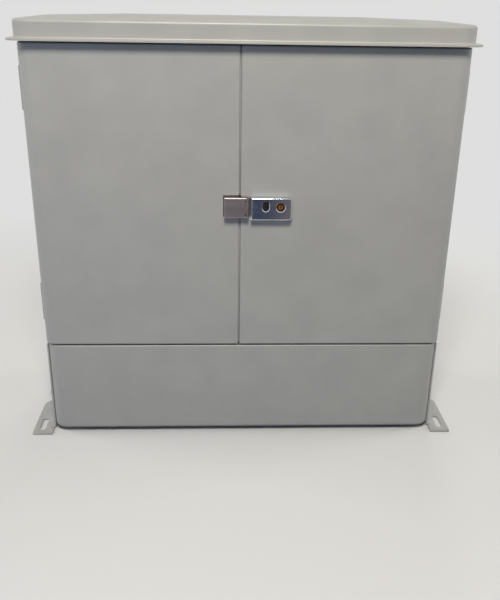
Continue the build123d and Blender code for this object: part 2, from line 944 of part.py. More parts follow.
def document_pocket():
    """Sheet steel pocket for the records, on the ribs inside the left door."""
    half = pocket_width / 2
    top = pocket_z + pocket_height
    seat = skin_back + rib_height
    outside = seat + pocket_depth
    pocket = block(pocket_x - half, pocket_x + half, seat, outside, pocket_z, top)
    inner = half - pocket_sheet
    pocket -= block(
        pocket_x - inner,
        pocket_x + inner,
        seat + pocket_sheet,
        outside - pocket_sheet,
        pocket_z + pocket_sheet,
        top,
    )
    return pocket


def shoot_bolt():
    """Round bolt at the top of the left door, drawn back, with its knob."""
    tip = door_top - rod_tip
    bolt = upright_cylinder(shoot_x, rod_y, tip - shoot_length, tip, shoot_radius)
    knob_z = tip - knob_from_tip
    return bolt + side_cylinder(rod_y, knob_z, shoot_x - shoot_radius - knob_length, shoot_x, knob_radius)


def shoot_bolt_low():
    """Round bolt at the bottom of the left door, drawn back, with its knob."""
    tip = door_bottom + rod_tip
    bolt = upright_cylinder(shoot_x, rod_y, tip, tip + shoot_length, shoot_radius)
    knob_z = tip + knob_from_tip
    return bolt + side_cylinder(rod_y, knob_z, shoot_x - shoot_radius - knob_length, shoot_x, knob_radius)


# Lock


def ear_levels():
    """Lower and upper face of each ear that carries the lever."""
    return [
        (z - ear_thickness / 2, z + ear_thickness / 2)
        for z in (lever_middle - ear_offset, lever_middle + ear_offset)
    ]


def lock_plate():
    """Cast plate under the lock, with the tongue in the left door's notch, ears and studs."""
    inset = lock_wall
    left = lever_left + notch_gap
    plate_bottom = lever_bottom + inset
    piece = block(left, housing_right - inset, lock_plate_front, front, plate_bottom, lock_top - inset)
    piece += block(left, left_edge, front, skin_back, lever_bottom + inset, lever_top - inset)
    for low, high in ear_levels():
        ear = upright_cylinder(lever_pivot_x, lever_pivot_y, low, high, ear_radius)
        ear += block(
            lever_pivot_x - ear_radius, lever_pivot_x + ear_radius, lever_pivot_y, lock_plate_front, low, high
        )
        piece += ear
    for x in stud_places:
        piece += cross_cylinder(x, lock_z, front, front + stud_length, stud_radius)
    piece -= upright_cylinder(lever_pivot_x, lever_pivot_y, lever_bottom, lever_top, lever_pin_radius)
    bore = cylinder_radius + running_fit
    return piece - cross_cylinder(cylinder_x, cylinder_z, lock_plate_front, front, bore)


def lock_housing():
    """Chromed lock housing over the plate, with the openings for the button and the cylinder."""
    plane = Plane(
        ((housing_left + housing_right) / 2, front, lock_z), x_dir=(1, 0, 0), z_dir=(0, -1, 0)
    )
    width = housing_right - housing_left
    shell = extrude(plane * Rectangle(width, lock_height), lock_stand)
    right = shell.edges().filter_by(Axis.Y).group_by(Axis.X)[-1]
    shell = fillet(right, housing_corner)
    rims = shell.faces().sort_by(Axis.Y)[0].edges()
    shell = chamfer(rims.sort_by(Axis.X)[0], housing_bevel)
    rims = shell.faces().sort_by(Axis.Y)[0].edges()
    shell = fillet(rims.sort_by(Axis.X)[1:], housing_round)
    inner = lock_front + lock_wall
    shell -= block(
        housing_left, housing_right - lock_wall, inner, front, lock_bottom + lock_wall, lock_top - lock_wall
    )
    button_hole = front_slot(
        button_x, button_z, button_width + 2 * button_fit, button_height + 2 * button_fit, lock_front, inner
    )
    bore = cylinder_radius + running_fit
    shell -= button_hole
    shell -= cross_cylinder(cylinder_x, cylinder_z, lock_front, inner, bore)
    mouths = shell.faces().sort_by(Axis.Y)[0].inner_wires().edges()
    return chamfer(mouths, rim_chamfer)


def lever():
    """Satin flip lever: a hollow cover hinged beside the housing and lying over the seam."""
    back_face = lock_plate_front - lever_back_gap
    piece = block(lever_left, lever_pivot_x, lock_front, back_face, lever_bottom, lever_top)
    rims = piece.faces().sort_by(Axis.Y)[0].edges()
    piece = fillet(rims.sort_by(Axis.X)[:3], lever_round)
    round_end = upright_cylinder(lever_pivot_x, lever_pivot_y, lever_bottom, lever_top, lever_face)
    piece += round_end
    hollow = block(
        lever_left + lock_wall,
        lever_pivot_x + lever_face,
        lever_pivot_y,
        back_face,
        lever_bottom + lock_wall,
        lever_top - lock_wall,
    )
    piece -= hollow
    levels = ear_levels()
    inner_low = levels[0][1] + ear_gap
    inner_high = levels[1][0] - ear_gap
    piece += upright_cylinder(lever_pivot_x, lever_pivot_y, inner_low, inner_high, lever_face)
    for low, high in levels:
        piece -= block(
            lever_pivot_x - ear_radius - ear_gap,
            lever_pivot_x + lever_face,
            lock_front,
            back_face,
            low - ear_gap,
            high + ear_gap,
        )
    bore = lever_pin_radius + running_fit
    return piece - upright_cylinder(lever_pivot_x, lever_pivot_y, lever_bottom, lever_top, bore)


def lever_pin():
    """Steel pin of the lever, fixed in the ears."""
    low = lever_bottom + lever_round
    high = lever_top - lever_round
    return upright_cylinder(lever_pivot_x, lever_pivot_y, low, high, lever_pin_radius)


def lock_button():
    """Dark push button with the flange that keeps it in the housing."""
    inner = lock_front + lock_wall
    flange_front = inner + button_fit
    flange_back = flange_front + button_flange
    head = front_slot(
        button_x, button_z, button_width, button_height, lock_front + button_sink, flange_front
    )
    spread = 2 * button_flange
    return head + front_slot(
        button_x, button_z, button_width + spread, button_height + spread, flange_front, flange_back
    )


def button_spring():
    """Coil spring between the button and the lock plate."""
    inner = lock_front + lock_wall
    start = inner + button_fit + button_flange + soft_gap + spring_wire
    end = lock_plate_front - soft_gap - spring_wire
    length = end - start
    coil = Helix(pitch=length / spring_turns, height=length, radius=spring_radius)
    section = Plane(coil @ 0, z_dir=coil % 0) * Circle(spring_wire)
    wire = sweep(section, path=coil)
    return Plane((button_x, start, button_z), x_dir=(1, 0, 0), z_dir=(0, 1, 0)) * wire


def key_cylinder():
    """Brass key cylinder with its keyway."""
    face = lock_front + cylinder_sink
    barrel = cross_cylinder(cylinder_x, cylinder_z, face, crank_front, cylinder_radius)
    half = keyway_width / 2
    tall = keyway_height / 2
    return barrel - block(
        cylinder_x - half, cylinder_x + half, face, face + keyway_depth, cylinder_z - tall, cylinder_z + tall
    )


def crank_pin_places():
    """X and Z of the crank pins, the top rod's first."""
    drop = crank_radius * sin(radians(crank_start))
    return [(cylinder_x + pin_reach, cylinder_z + drop), (cylinder_x - pin_reach, cylinder_z - drop)]


def lock_crank():
    """Crank on the back of the cylinder, with a pin for each rod."""
    crank = cross_cylinder(cylinder_x, cylinder_z, crank_front, crank_back, cylinder_radius)
    for x, z in crank_pin_places():
        crank += cross_cylinder(x, z, crank_front, crank_back, crank_boss)
        crank += cross_cylinder(x, z, crank_back, crank_back + crank_pin_length, crank_pin)
    return crank


def yoke(x, z):
    """Head of a lock rod with the cross slot for a crank pin."""
    slot_half = (crank_radius - pin_reach) / 2 + crank_pin + yoke_play
    slot_tall = crank_pin + yoke_play
    half = slot_half + yoke_wall
    tall = slot_tall + yoke_wall
    head = block(x - half, x + half, rod_front, rod_back, z - tall, z + tall)
    return head - block(x - slot_half, x + slot_half, rod_front, rod_back, z - slot_tall, z + slot_tall)


def top_rod():
    """Flat lock rod from the crank to the top of the right door."""
    z = crank_pin_places()[0][1]
    half = rod_width / 2
    start = z + crank_pin + yoke_play + yoke_wall
    bar = block(top_rod_x - half, top_rod_x + half, rod_front, rod_back, start, door_top - rod_tip)
    return yoke(top_rod_x, z) + bar


def bottom_rod():
    """Flat lock rod from the crank to the bottom of the right door."""
    z = crank_pin_places()[1][1]
    half = rod_width / 2
    start = z - crank_pin - yoke_play - yoke_wall
    bar = block(bottom_rod_x - half, bottom_rod_x + half, rod_front, rod_back, door_bottom + rod_tip, start)
    return yoke(bottom_rod_x, z) + bar


# Nodes


def feet():
    """The four foot brackets by name."""
    front_left = foot_bracket()
    rear_left = other_end(front_left)
    return {
        "foot_bracket_front_left": front_left,
        "foot_bracket_front_right": other_side(front_left),
        "foot_bracket_rear_left": rear_left,
        "foot_bracket_rear_right": other_side(rear_left),
    }


def hinges():
    """The leaves and pins of both doors by name."""
    nodes = {}
    for level, z in zip(("bottom", "top"), hinge_levels):
        on_jamb = jamb_leaf(z)
        on_door = door_leaf(z)
        nodes[f"left_jamb_leaf_{level}"] = on_jamb
        nodes[f"right_jamb_leaf_{level}"] = other_side(on_jamb)
        nodes[f"left_door_leaf_{level}"] = on_door
        nodes[f"right_door_leaf_{level}"] = other_side(on_door)
    pins = left_hinge_pins()
    nodes["left_hinge_pins"] = pins
    nodes["right_hinge_pins"] = [other_side(pin) for pin in pins]
    return nodes


def body_nodes():
    """The moulded body and what stands in it."""
    left_panel = left_side_panel()
    upright = left_upright()
    guide_x = column_pitch
    nodes = {
        "base_plinth": base_plinth(),
        "left_side_panel": left_panel,
        "right_side_panel": other_side(left_panel),
        "back_panel": back_panel(),
        "lid": lid(),
        "front_header": front_header(),
        "frame_seal": frame_seal(),
        "bottom_plate": bottom_plate(),
        "foot_bolts": foot_bolts(),
        "panel_bolts": panel_bolts(),
        "frame_bolts": frame_bolts(),
        "left_upright": upright,
        "right_upright": other_side(upright),
        "top_rail": rail(top_rail_z),
        "bottom_rail": rail(bottom_rail_z),
        "clamp_rail": rail(clamp_rail_z),
        "cable_clamps": [cable_clamp(x) for x in column_places],
        "jumper_guide_left": jumper_guide(-guide_x),
        "jumper_guide_right": jumper_guide(guide_x),
        "earth_bar": earth_bar(),
        "earth_standoffs": earth_standoffs(),
    }
    for number, x in enumerate(column_places, 1):
        nodes[f"cable_sleeve_{number}"] = cable_sleeve(x)
        nodes[f"module_column_{number}"] = module_column(x)
    return nodes


def door_nodes():
    """Both doors with the lock and its works."""
    return {
        "left_door": left_door(),
        "meeting_seal": meeting_seal(),
        "document_pocket": document_pocket(),
        "left_top_bolt": shoot_bolt(),
        "left_bottom_bolt": shoot_bolt_low(),
        "right_door": right_door(),
        "lock_plate": lock_plate(),
        "lock_housing": lock_housing(),
        "lever": lever(),
        "lever_pin": lever_pin(),
        "lock_button": lock_button(),
        "button_spring": button_spring(),
        "key_cylinder": key_cylinder(),
        "lock_crank": lock_crank(),
        "top_rod": top_rod(),
        "bottom_rod": bottom_rod(),
    }


def write(name, piece):
    """Write one node, with its separate solids as a group."""
    solids = [s for p in piece for s in p.solids()] if isinstance(piece, list) else piece.solids()
    shape = solids[0] if len(solids) == 1 else Compound(children=list(solids))
    export_step(shape, f"parts/{name}.step")


for nodes in (body_nodes(), feet(), hinges(), door_nodes()):
    for name, piece in nodes.items():
        write(name, piece)
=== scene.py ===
"""Looks of a two-door roadside cabinet for telephone cables, moulded in glass-fibre compound.

The sizes of pieces are in millimetres, and those of the camera, the lamps and the floor in metres. The
origin is on the ground under the middle of the cabinet, with X to the right, Y to the back and Z up.
"""

import json
import logging
import math
from abc import ABC, abstractmethod
from collections.abc import Sequence
from dataclasses import dataclass, field
from enum import Enum
from typing import NamedTuple, TypeVar

import bmesh
import bpy
from bmesh.types import BMEdge, BMesh, BMVert
from bpy.types import ID, Material, Node, NodeSocket, NodeTree, Object
from mathutils import Matrix, Vector


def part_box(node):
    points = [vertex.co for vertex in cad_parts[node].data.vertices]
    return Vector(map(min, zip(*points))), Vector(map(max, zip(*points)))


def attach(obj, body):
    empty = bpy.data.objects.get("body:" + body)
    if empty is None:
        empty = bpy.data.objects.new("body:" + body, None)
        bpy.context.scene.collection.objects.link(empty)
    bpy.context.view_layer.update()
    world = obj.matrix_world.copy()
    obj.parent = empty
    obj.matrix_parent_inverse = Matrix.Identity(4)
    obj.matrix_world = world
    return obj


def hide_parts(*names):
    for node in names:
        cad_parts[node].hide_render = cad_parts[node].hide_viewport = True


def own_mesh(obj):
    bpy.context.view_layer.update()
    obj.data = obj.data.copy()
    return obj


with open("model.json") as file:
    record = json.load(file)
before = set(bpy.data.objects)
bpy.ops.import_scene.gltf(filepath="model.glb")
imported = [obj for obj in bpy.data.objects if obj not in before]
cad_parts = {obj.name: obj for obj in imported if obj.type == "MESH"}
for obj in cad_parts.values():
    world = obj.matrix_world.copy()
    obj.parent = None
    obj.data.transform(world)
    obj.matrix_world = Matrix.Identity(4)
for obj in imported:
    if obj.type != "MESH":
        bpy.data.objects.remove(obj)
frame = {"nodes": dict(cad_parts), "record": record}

LOG = logging.getLogger("cabinet")
MM = 0.001

# Points nearer than this, in metres, are merged, and edges bent by more than this are shaded as sharp.
WELD = 0.000005
SHARP = math.radians(38)

# The least sine or cosine that a length is divided by.
LEAST = 1e-6

Colour = tuple[float, float, float, float]
Place = tuple[float, float, float]
Stretch = tuple[float, float, float]
Mark = TypeVar("Mark")


def colour(code: str) -> Colour:
    """Turn an sRGB hex colour into linear values.

    Args:
        code: The colour as "#RRGGBB".

    Returns:
        Red, green, blue and an alpha of 1, linear.
    """
    parts = [int(code[i:i + 2], 16) / 255 for i in (1, 3, 5)]
    linear = [p / 12.92 if p <= 0.04045 else ((p + 0.055) / 1.055) ** 2.4 for p in parts]
    return (linear[0], linear[1], linear[2], 1.0)


def add_node(
    tree: NodeTree,
    kind: str,
    settings: dict | None = None,
    values: dict | None = None,
    links: dict | None = None,
) -> Node:
    """Add one node with its settings, socket values and incoming links.

    Args:
        tree: The node tree it goes into.
        kind: Blender's name of the node type.
        settings: Properties of the node by name.
        values: Input values by socket name or number.
        links: Output sockets by the input socket that they feed.

    Returns:
        The new node.
    """
    node = tree.nodes.new(kind)
    for key, value in (settings or {}).items():
        setattr(node, key, value)
    for key, value in (values or {}).items():
        node.inputs[key].default_value = value
    for key, source in (links or {}).items():
        tree.links.new(source, node.inputs[key])
    return node


def new_material(name: str) -> Material:
    """Make a material with an empty node tree.

    Args:
        name: Its name.

    Returns:
        The new material.
    """
    material = bpy.data.materials.new(name)
    material.use_nodes = True
    material.node_tree.nodes.clear()
    return material


def add_object(name: str, data: ID) -> Object:
    """Put a mesh, a camera or a light into the scene as an object.

    Args:
        name: The object's name.
        data: What it shows.

    Returns:
        The new object.
    """
    thing = bpy.data.objects.new(name, data)
    bpy.context.scene.collection.objects.link(thing)
    return thing


def add_mesh(bm: BMesh, name: str, paint: Material) -> Object:
    """Turn a finished mesh into an object of the scene.

    Args:
        bm: The mesh, freed here.
        name: The object's name.
        paint: Its material.

    Returns:
        The new object.
    """
    mesh = bpy.data.meshes.new(name)
    bm.to_mesh(mesh)
    bm.free()
    mesh.materials.append(paint)
    return add_object(name, mesh)


# Finishes

# The middle part of a noise's values, which is spread from 0 to 1, and the octaves of each kind of patch.
NOISE_SPAN = (0.3, 0.7)
COLOUR_OCTAVES = 4.0
ROUGHNESS_OCTAVES = 3.0

# Sockets that a Mix node uses for colours.
FIRST_COLOUR = 6
SECOND_COLOUR = 7
MIXED_COLOUR = 2


class Pattern(Enum):
    """Surface patterns that a relief can take, with the node, its output and its settings."""

    CLOUDS = ("ShaderNodeTexNoise", "Fac", {})
    PITS = ("ShaderNodeTexVoronoi", "Distance", {})
    RINGS = ("ShaderNodeTexWave", "Fac", {"wave_type": "RINGS", "rings_direction": "Y"})


@dataclass(frozen=True)
class Relief:
    """One layer of relief on a surface.

    Attributes:
        size_mm: How far its marks are apart, or about three times that for rings.
        depth_mm: How deep they are.
        stretch: Scale along each axis, under 1 where the marks run long.
        detail: How many finer octaves clouds have.
        pattern: What it looks like.
    """

    size_mm: float
    depth_mm: float
    stretch: Stretch = (1.0, 1.0, 1.0)
    detail: float = 2.0
    pattern: Pattern = Pattern.CLOUDS


@dataclass(frozen=True)
class Finish:
    """A real material with the finish it was given.

    Attributes:
        name: The material's plain name.
        light: Its lighter colour, sRGB hex.
        dark: Its darker colour, sRGB hex.
        mottle_mm: Size of the patches between the two colours.
        roughness: Lowest and highest roughness.
        smear_mm: Size of the patches between the two roughnesses.
        metallic: 1 for a bare metal.
        ior: Index of refraction, left at the default on a metal.
        reliefs: Layers of relief, coarse ones first.
        grain: Stretch of the colour and roughness patches along each axis.
        centre: Where ring patterns and the painted shade have their axis, in metres.
        shaded_rim: Colour of the painted shade far from that axis, sRGB hex, where it has one.
        shaded_rim_mm: Where that painted shade starts and where it is full, from the axis.
    """

    name: str
    light: str
    dark: str
    mottle_mm: float
    roughness: tuple[float, float]
    smear_mm: float
    metallic: float = 0.0
    ior: float = 1.5
    reliefs: tuple[Relief, ...] = ()
    grain: Stretch = (1.0, 1.0, 1.0)
    centre: Place = (0.0, 0.0, 0.0)
    shaded_rim: str = ""
    shaded_rim_mm: tuple[float, float] = (0.0, 0.0)

    def build(self) -> Material:
        """Make the material.

        Returns:
            The node material of this finish.
        """
        material = new_material(self.name)
        tree = material.node_tree
        place = add_node(tree, "ShaderNodeTexCoord").outputs["Object"]
        grained = self._mapped(tree, place, self.grain)
        links = {"Base Color": self._colours(tree, grained), "Roughness": self._roughness(tree, grained)}
        for relief in self.reliefs:
            links["Normal"] = self._bump(tree, place, relief, links.get("Normal"))
        values = {"Metallic": self.metallic, "IOR": self.ior}
        shader = add_node(tree, "ShaderNodeBsdfPrincipled", values=values, links=links)
        add_node(tree, "ShaderNodeOutputMaterial", links={"Surface": shader.outputs["BSDF"]})
        return material

    def _mapped(self, tree: NodeTree, place: NodeSocket, stretch: Stretch) -> NodeSocket:
        """Centre and stretch the coordinates of a pattern.

        Args:
            tree: The material's tree.
            place: Object coordinates.
            stretch: Scale along each axis.

        Returns:
            The mapped coordinates.
        """
        shift = tuple(-c * s for c, s in zip(self.centre, stretch))
        values = {"Location": shift, "Scale": stretch}
        return add_node(tree, "ShaderNodeMapping", values=values, links={"Vector": place}).outputs["Vector"]

    def _clouds(self, tree: NodeTree, place: NodeSocket, size_mm: float, detail: float) -> NodeSocket:
        """Draw soft patches of one size.

        Args:
            tree: The material's tree.
            place: Mapped coordinates.
            size_mm: Size of the patches.
            detail: How many finer octaves they have.

        Returns:
            A value from 0 to 1.
        """
        values = {"Scale": 1 / (size_mm * MM), "Detail": detail}
        noise = add_node(tree, "ShaderNodeTexNoise", values=values, links={"Vector": place})
        low, high = NOISE_SPAN
        spread = add_node(
            tree,
            "ShaderNodeMapRange",
            values={"From Min": low, "From Max": high},
            links={"Value": noise.outputs["Fac"]},
        )
        return spread.outputs["Result"]

    def _colours(self, tree: NodeTree, place: NodeSocket) -> NodeSocket:
        """Mix the two colours in soft patches, and the painted shade round them.

        Args:
            tree: The material's tree.
            place: Mapped coordinates.

        Returns:
            The colour.
        """
        mix = add_node(
            tree,
            "ShaderNodeMix",
            settings={"data_type": "RGBA"},
            values={FIRST_COLOUR: colour(self.light), SECOND_COLOUR: colour(self.dark)},
            links={0: self._clouds(tree, place, self.mottle_mm, COLOUR_OCTAVES)},
        )
        if not self.shaded_rim:
            return mix.outputs[MIXED_COLOUR]
        # The outer colour is painted shade, mixed in with the distance from the axis.
        flat = add_node(
            tree,
            "ShaderNodeVectorMath",
            settings={"operation": "MULTIPLY"},
            values={1: (1.0, 0.0, 1.0)},
            links={0: place},
        )
        reach = add_node(
            tree, "ShaderNodeVectorMath", settings={"operation": "LENGTH"}, links={0: flat.outputs["Vector"]}
        )
        start, full = self.shaded_rim_mm
        share = add_node(
            tree,
            "ShaderNodeMapRange",
            values={"From Min": start * MM, "From Max": full * MM},
            links={"Value": reach.outputs["Value"]},
        )
        with_shaded_rim = add_node(
            tree,
            "ShaderNodeMix",
            settings={"data_type": "RGBA"},
            values={SECOND_COLOUR: colour(self.shaded_rim)},
            links={0: share.outputs["Result"], FIRST_COLOUR: mix.outputs[MIXED_COLOUR]},
        )
        return with_shaded_rim.outputs[MIXED_COLOUR]

    def _roughness(self, tree: NodeTree, place: NodeSocket) -> NodeSocket:
        """Vary the roughness in soft smears.

        Args:
            tree: The material's tree.
            place: Mapped coordinates.

        Returns:
            The roughness.
        """
        low, high = self.roughness
        spread = add_node(
            tree,
            "ShaderNodeMapRange",
            values={"To Min": low, "To Max": high},
            links={"Value": self._clouds(tree, place, self.smear_mm, ROUGHNESS_OCTAVES)},
        )
        return spread.outputs["Result"]

    def _bump(
        self, tree: NodeTree, place: NodeSocket, relief: Relief, below: NodeSocket | None
    ) -> NodeSocket:
        """Lay one relief over the ones below it.

        Args:
            tree: The material's tree.
            place: Object coordinates.
            relief: The layer.
            below: The normal that the layers below give, if any.

        Returns:
            The normal with this layer on it.
        """
        kind, output, settings = relief.pattern.value
        values = {"Scale": 1 / (relief.size_mm * MM)}
        if relief.pattern is Pattern.CLOUDS:
            values["Detail"] = relief.detail
        vector = self._mapped(tree, place, relief.stretch)
        texture = add_node(tree, kind, settings, values, {"Vector": vector})
        links = {"Height": texture.outputs[output]}
        if below is not None:
            links["Normal"] = below
        values = {"Distance": relief.depth_mm * MM, "Strength": 1.0}
        return add_node(tree, "ShaderNodeBump", values=values, links=links).outputs["Normal"]


# Glass-fibre moulding compound, pressed hot in a polished tool: a satin skin that waves softly over the
# large panels, with a faint print of the fibres and a fine orange peel.
MOULDED_COMPOUND = Finish(
    name="glass_fibre_moulding_compound",
    light="#AEAEA9",
    dark="#A8A8A4",
    mottle_mm=70.0,
    roughness=(0.34, 0.44),
    smear_mm=45.0,
    ior=1.54,
    reliefs=(
        Relief(size_mm=160.0, depth_mm=0.9, detail=1.0),
        Relief(size_mm=7.0, depth_mm=0.012, stretch=(1.0, 1.0, 0.4), detail=3.0),
        Relief(size_mm=1.8, depth_mm=0.006, detail=1.0),
    ),
)

# Steel foot sprayed with a satin topcoat: pale like the body, a little glossier, with a fine orange peel.
PAINTED_STEEL = Finish(
    name="satin_painted_steel",
    light="#A9AAA8",
    dark="#9FA1A0",
    mottle_mm=30.0,
    roughness=(0.32, 0.48),
    smear_mm=18.0,
    reliefs=(Relief(size_mm=2.2, depth_mm=0.02),),
)

# Zinc plate on rolled steel: a bluish grey with cloudy passivation and faint rolling lines.
ZINC_PLATE = Finish(
    name="zinc_plated_steel",
    light="#B4B8BC",
    dark="#9DA2A8",
    mottle_mm=22.0,
    roughness=(0.28, 0.44),
    smear_mm=12.0,
    metallic=1.0,
    reliefs=(Relief(size_mm=3.0, depth_mm=0.006, stretch=(1.0, 1.0, 0.1)),),
)

# Stainless steel of hinges, pins, spring and contacts, drawn and turned: greyer and smoother than the
# zinc plate. Its fine lines are made coarser than real ones, so that they show.
STAINLESS = Finish(
    name="drawn_stainless_steel",
    light="#B9B8B4",
    dark="#A5A4A1",
    mottle_mm=14.0,
    roughness=(0.2, 0.34),
    smear_mm=8.0,
    metallic=1.0,
    reliefs=(Relief(size_mm=1.2, depth_mm=0.004, stretch=(1.0, 1.0, 0.08)),),
)

# Satin stainless lever, brushed along its length: a warm grey with fine long lines, drawn coarser than
# real brushing so that they show.
BRUSHED_STEEL = Finish(
    name="brushed_satin_steel",
    light="#A39C9C",
    dark="#8E8888",
    mottle_mm=18.0,
    roughness=(0.3, 0.4),
    smear_mm=6.0,
    metallic=1.0,
    reliefs=(Relief(size_mm=0.5, depth_mm=0.008, stretch=(0.03, 1.0, 1.0), detail=3.0),),
    grain=(0.12, 1.0, 1.0),
)

# Chrome plate over a polished casting: a mirror with the faint haze of handling.
CHROME_PLATE = Finish(
    name="polished_chrome_plate",
    light="#D2D6DC",
    dark="#C6CAD2",
    mottle_mm=30.0,
    roughness=(0.05, 0.12),
    smear_mm=9.0,
    metallic=1.0,
    reliefs=(Relief(size_mm=14.0, depth_mm=0.02, detail=1.0),),
)

# Turned brass of the key cylinder: yellow in the middle and a dark red brown towards its edge, which is
# painted shade in the groove round the plug. The lathe's concentric lines are drawn about a millimetre apart,
# coarser than they are, so that they show.
TURNED_BRASS = Finish(
    name="turned_brass",
    light="#B58B47",
    dark="#9A7038",
    mottle_mm=5.0,
    roughness=(0.22, 0.36),
    smear_mm=4.0,
    metallic=1.0,
    reliefs=(Relief(size_mm=3.0, depth_mm=0.01, pattern=Pattern.RINGS),),
    centre=(0.077, 0.0, 0.5865),
    # Painted shade in the groove round the plug and out to the edge.
    shaded_rim="#4E2F2A",
    shaded_rim_mm=(4.6, 6.4),
)

# Zinc die casting behind the chrome: a dull grey, finely pitted.
CAST_ZINC = Finish(
    name="die_cast_zinc",
    light="#8E9094",
    dark="#7B7D82",
    mottle_mm=9.0,
    roughness=(0.42, 0.58),
    smear_mm=6.0,
    metallic=1.0,
    reliefs=(Relief(size_mm=1.5, depth_mm=0.03, pattern=Pattern.PITS),),
)

# Copper earth bar, rolled and a little tarnished: red brown with darker clouds and rolling lines.
ROLLED_COPPER = Finish(
    name="rolled_copper",
    light="#C27A55",
    dark="#96563B",
    mottle_mm=16.0,
    roughness=(0.25, 0.45),
    smear_mm=10.0,
    metallic=1.0,
    reliefs=(Relief(size_mm=1.5, depth_mm=0.01, stretch=(0.06, 1.0, 1.0)),),
)

# Black rubber of the seal and the sleeves: matt, with the faint bloom of extruded rubber and a grain
# drawn coarser than it is, so that it shows.
BLACK_RUBBER = Finish(
    name="black_rubber",
    light="#2E2E2D",
    dark="#232323",
    mottle_mm=12.0,
    roughness=(0.62, 0.8),
    smear_mm=9.0,
    ior=1.52,
    reliefs=(Relief(size_mm=1.2, depth_mm=0.02),),
)

# Pale grey sponge rubber of the strip between the doors: matt and finely porous.
GREY_RUBBER = Finish(
    name="grey_sponge_rubber",
    light="#A9A9A4",
    dark="#9C9C98",
    mottle_mm=10.0,
    roughness=(0.6, 0.75),
    smear_mm=8.0,
    ior=1.52,
    reliefs=(Relief(size_mm=0.8, depth_mm=0.02),),
)

# Moulded terminal plastic with a spark-eroded texture: ivory and dull.
TERMINAL_PLASTIC = Finish(
    name="moulded_terminal_plastic",
    light="#CFCDC2",
    dark="#C4C2B6",
    mottle_mm=25.0,
    roughness=(0.46, 0.58),
    smear_mm=12.0,
    ior=1.52,
    reliefs=(Relief(size_mm=0.9, depth_mm=0.01),),
)

# Brown red insulator of filled polyester: semi gloss, with a faint flow pattern.
INSULATOR_PLASTIC = Finish(
    name="filled_polyester_insulator",
    light="#8A2A1C",
    dark="#732015",
    mottle_mm=8.0,
    roughness=(0.3, 0.42),
    smear_mm=6.0,
    ior=1.55,
    reliefs=(Relief(size_mm=1.6, depth_mm=0.01, stretch=(1.0, 1.0, 0.3)),),
)

# Black acetal button: smooth and nearly glossy.
BLACK_ACETAL = Finish(
    name="black_acetal",
    light="#1B1A1F",
    dark="#141317",
    mottle_mm=6.0,
    roughness=(0.22, 0.32),
    smear_mm=4.0,
    ior=1.48,
    reliefs=(Relief(size_mm=1.0, depth_mm=0.004),),
)

SLOT_FINISHES: dict[str, Finish] = {
    "moulded_body": MOULDED_COMPOUND,
    "painted_feet": PAINTED_STEEL,
    "zinc_steel": ZINC_PLATE,
    "hinge_steel": STAINLESS,
    "satin_steel": BRUSHED_STEEL,
    "chrome": CHROME_PLATE,
    "brass": TURNED_BRASS,
    "cast_zinc": CAST_ZINC,
    "copper": ROLLED_COPPER,
    "rubber": BLACK_RUBBER,
    "grey_rubber": GREY_RUBBER,
    "terminal_plastic": TERMINAL_PLASTIC,
    "insulator": INSULATOR_PLASTIC,
    "dark_button": BLACK_ACETAL,
}


@dataclass
class Paintbox:
    """Makes each finish once and hands it to whatever needs it."""

    made: dict[str, Material] = field(default_factory=dict)

    def of(self, slot: str) -> Material:
        """Give the material of one of the record's slots.

        Args:
            slot: The slot's name.

        Returns:
            Its material, made at the first call.
        """
        if slot not in self.made:
            self.made[slot] = SLOT_FINISHES[slot].build()
        return self.made[slot]

    def dress_frame(self) -> None:
        """Give every piece of the frame its material."""
        slots = {part["node"]: part["material_slot"] for part in frame["record"]["subparts"]}
        for name, piece in frame["nodes"].items():
            piece.data.materials.clear()
            piece.data.materials.append(self.of(slots[name]))
            LOG.info("dressed %s in %s", name, slots[name])


# Shaping


class Outline(Enum):
    """Outlines that a ring of a turned or pressed piece can have."""

    ROUND = "round"
    HEXAGON = "hexagon"
    CROSS = "cross"
    KEYWAY = "keyway"

    def reach(self, angle: float, size: float) -> float:
        """Measure from the axis to the outline.

        Args:
            angle: Direction about the axis.
            size: A round's radius, half of a hexagon's width across flats, or half the length of a slot.

        Returns:
            The distance in that direction, in the unit of the size.
        """
        if self is Outline.ROUND:
            return size
        if self is Outline.HEXAGON:
            sixth = math.pi / 3
            return size / math.cos(angle % sixth - sixth / 2)
        across = max(abs(math.cos(angle)), LEAST)
        along = max(abs(math.sin(angle)), LEAST)
        half = size / 4
        upright = min(size / along, half / across)
        if self is Outline.KEYWAY:
            return upright
        return max(upright, min(size / across, half / along))


class Ring(NamedTuple):
    """One ring of a turned piece, in millimetres."""

    size: float
    height: float
    outline: Outline = Outline.ROUND


class Facing(Enum):
    """Directions that a turned piece's axis can have."""

    UP = (0.0, "X")
    BACK = (-90.0, "X")
    FRONT = (90.0, "X")
    RIGHT = (90.0, "Y")
    LEFT = (-90.0, "Y")

    def at(self, place_mm: Place) -> Matrix:
        """Give the matrix, in metres, that stands a piece's foot at a place."""
        degrees, axis = self.value
        return Matrix.Translation(Vector(place_mm) * MM) @ Matrix.Rotation(math.radians(degrees), 4, axis)


def node_box_mm(node: str) -> tuple[Vector, Vector]:
    """Measure a piece of the frame.

    Args:
        node: Its name.

    Returns:
        Its low and high corners in millimetres.
    """
    low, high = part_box(node)
    return Vector(low) / MM, Vector(high) / MM


def edges_of(verts: Sequence[BMVert]) -> list[BMEdge]:
    """Collect the edges that meet some vertices.

    Args:
        verts: The vertices.

    Returns:
        Each edge once.
    """
    return list({edge for vert in verts for edge in vert.link_edges})


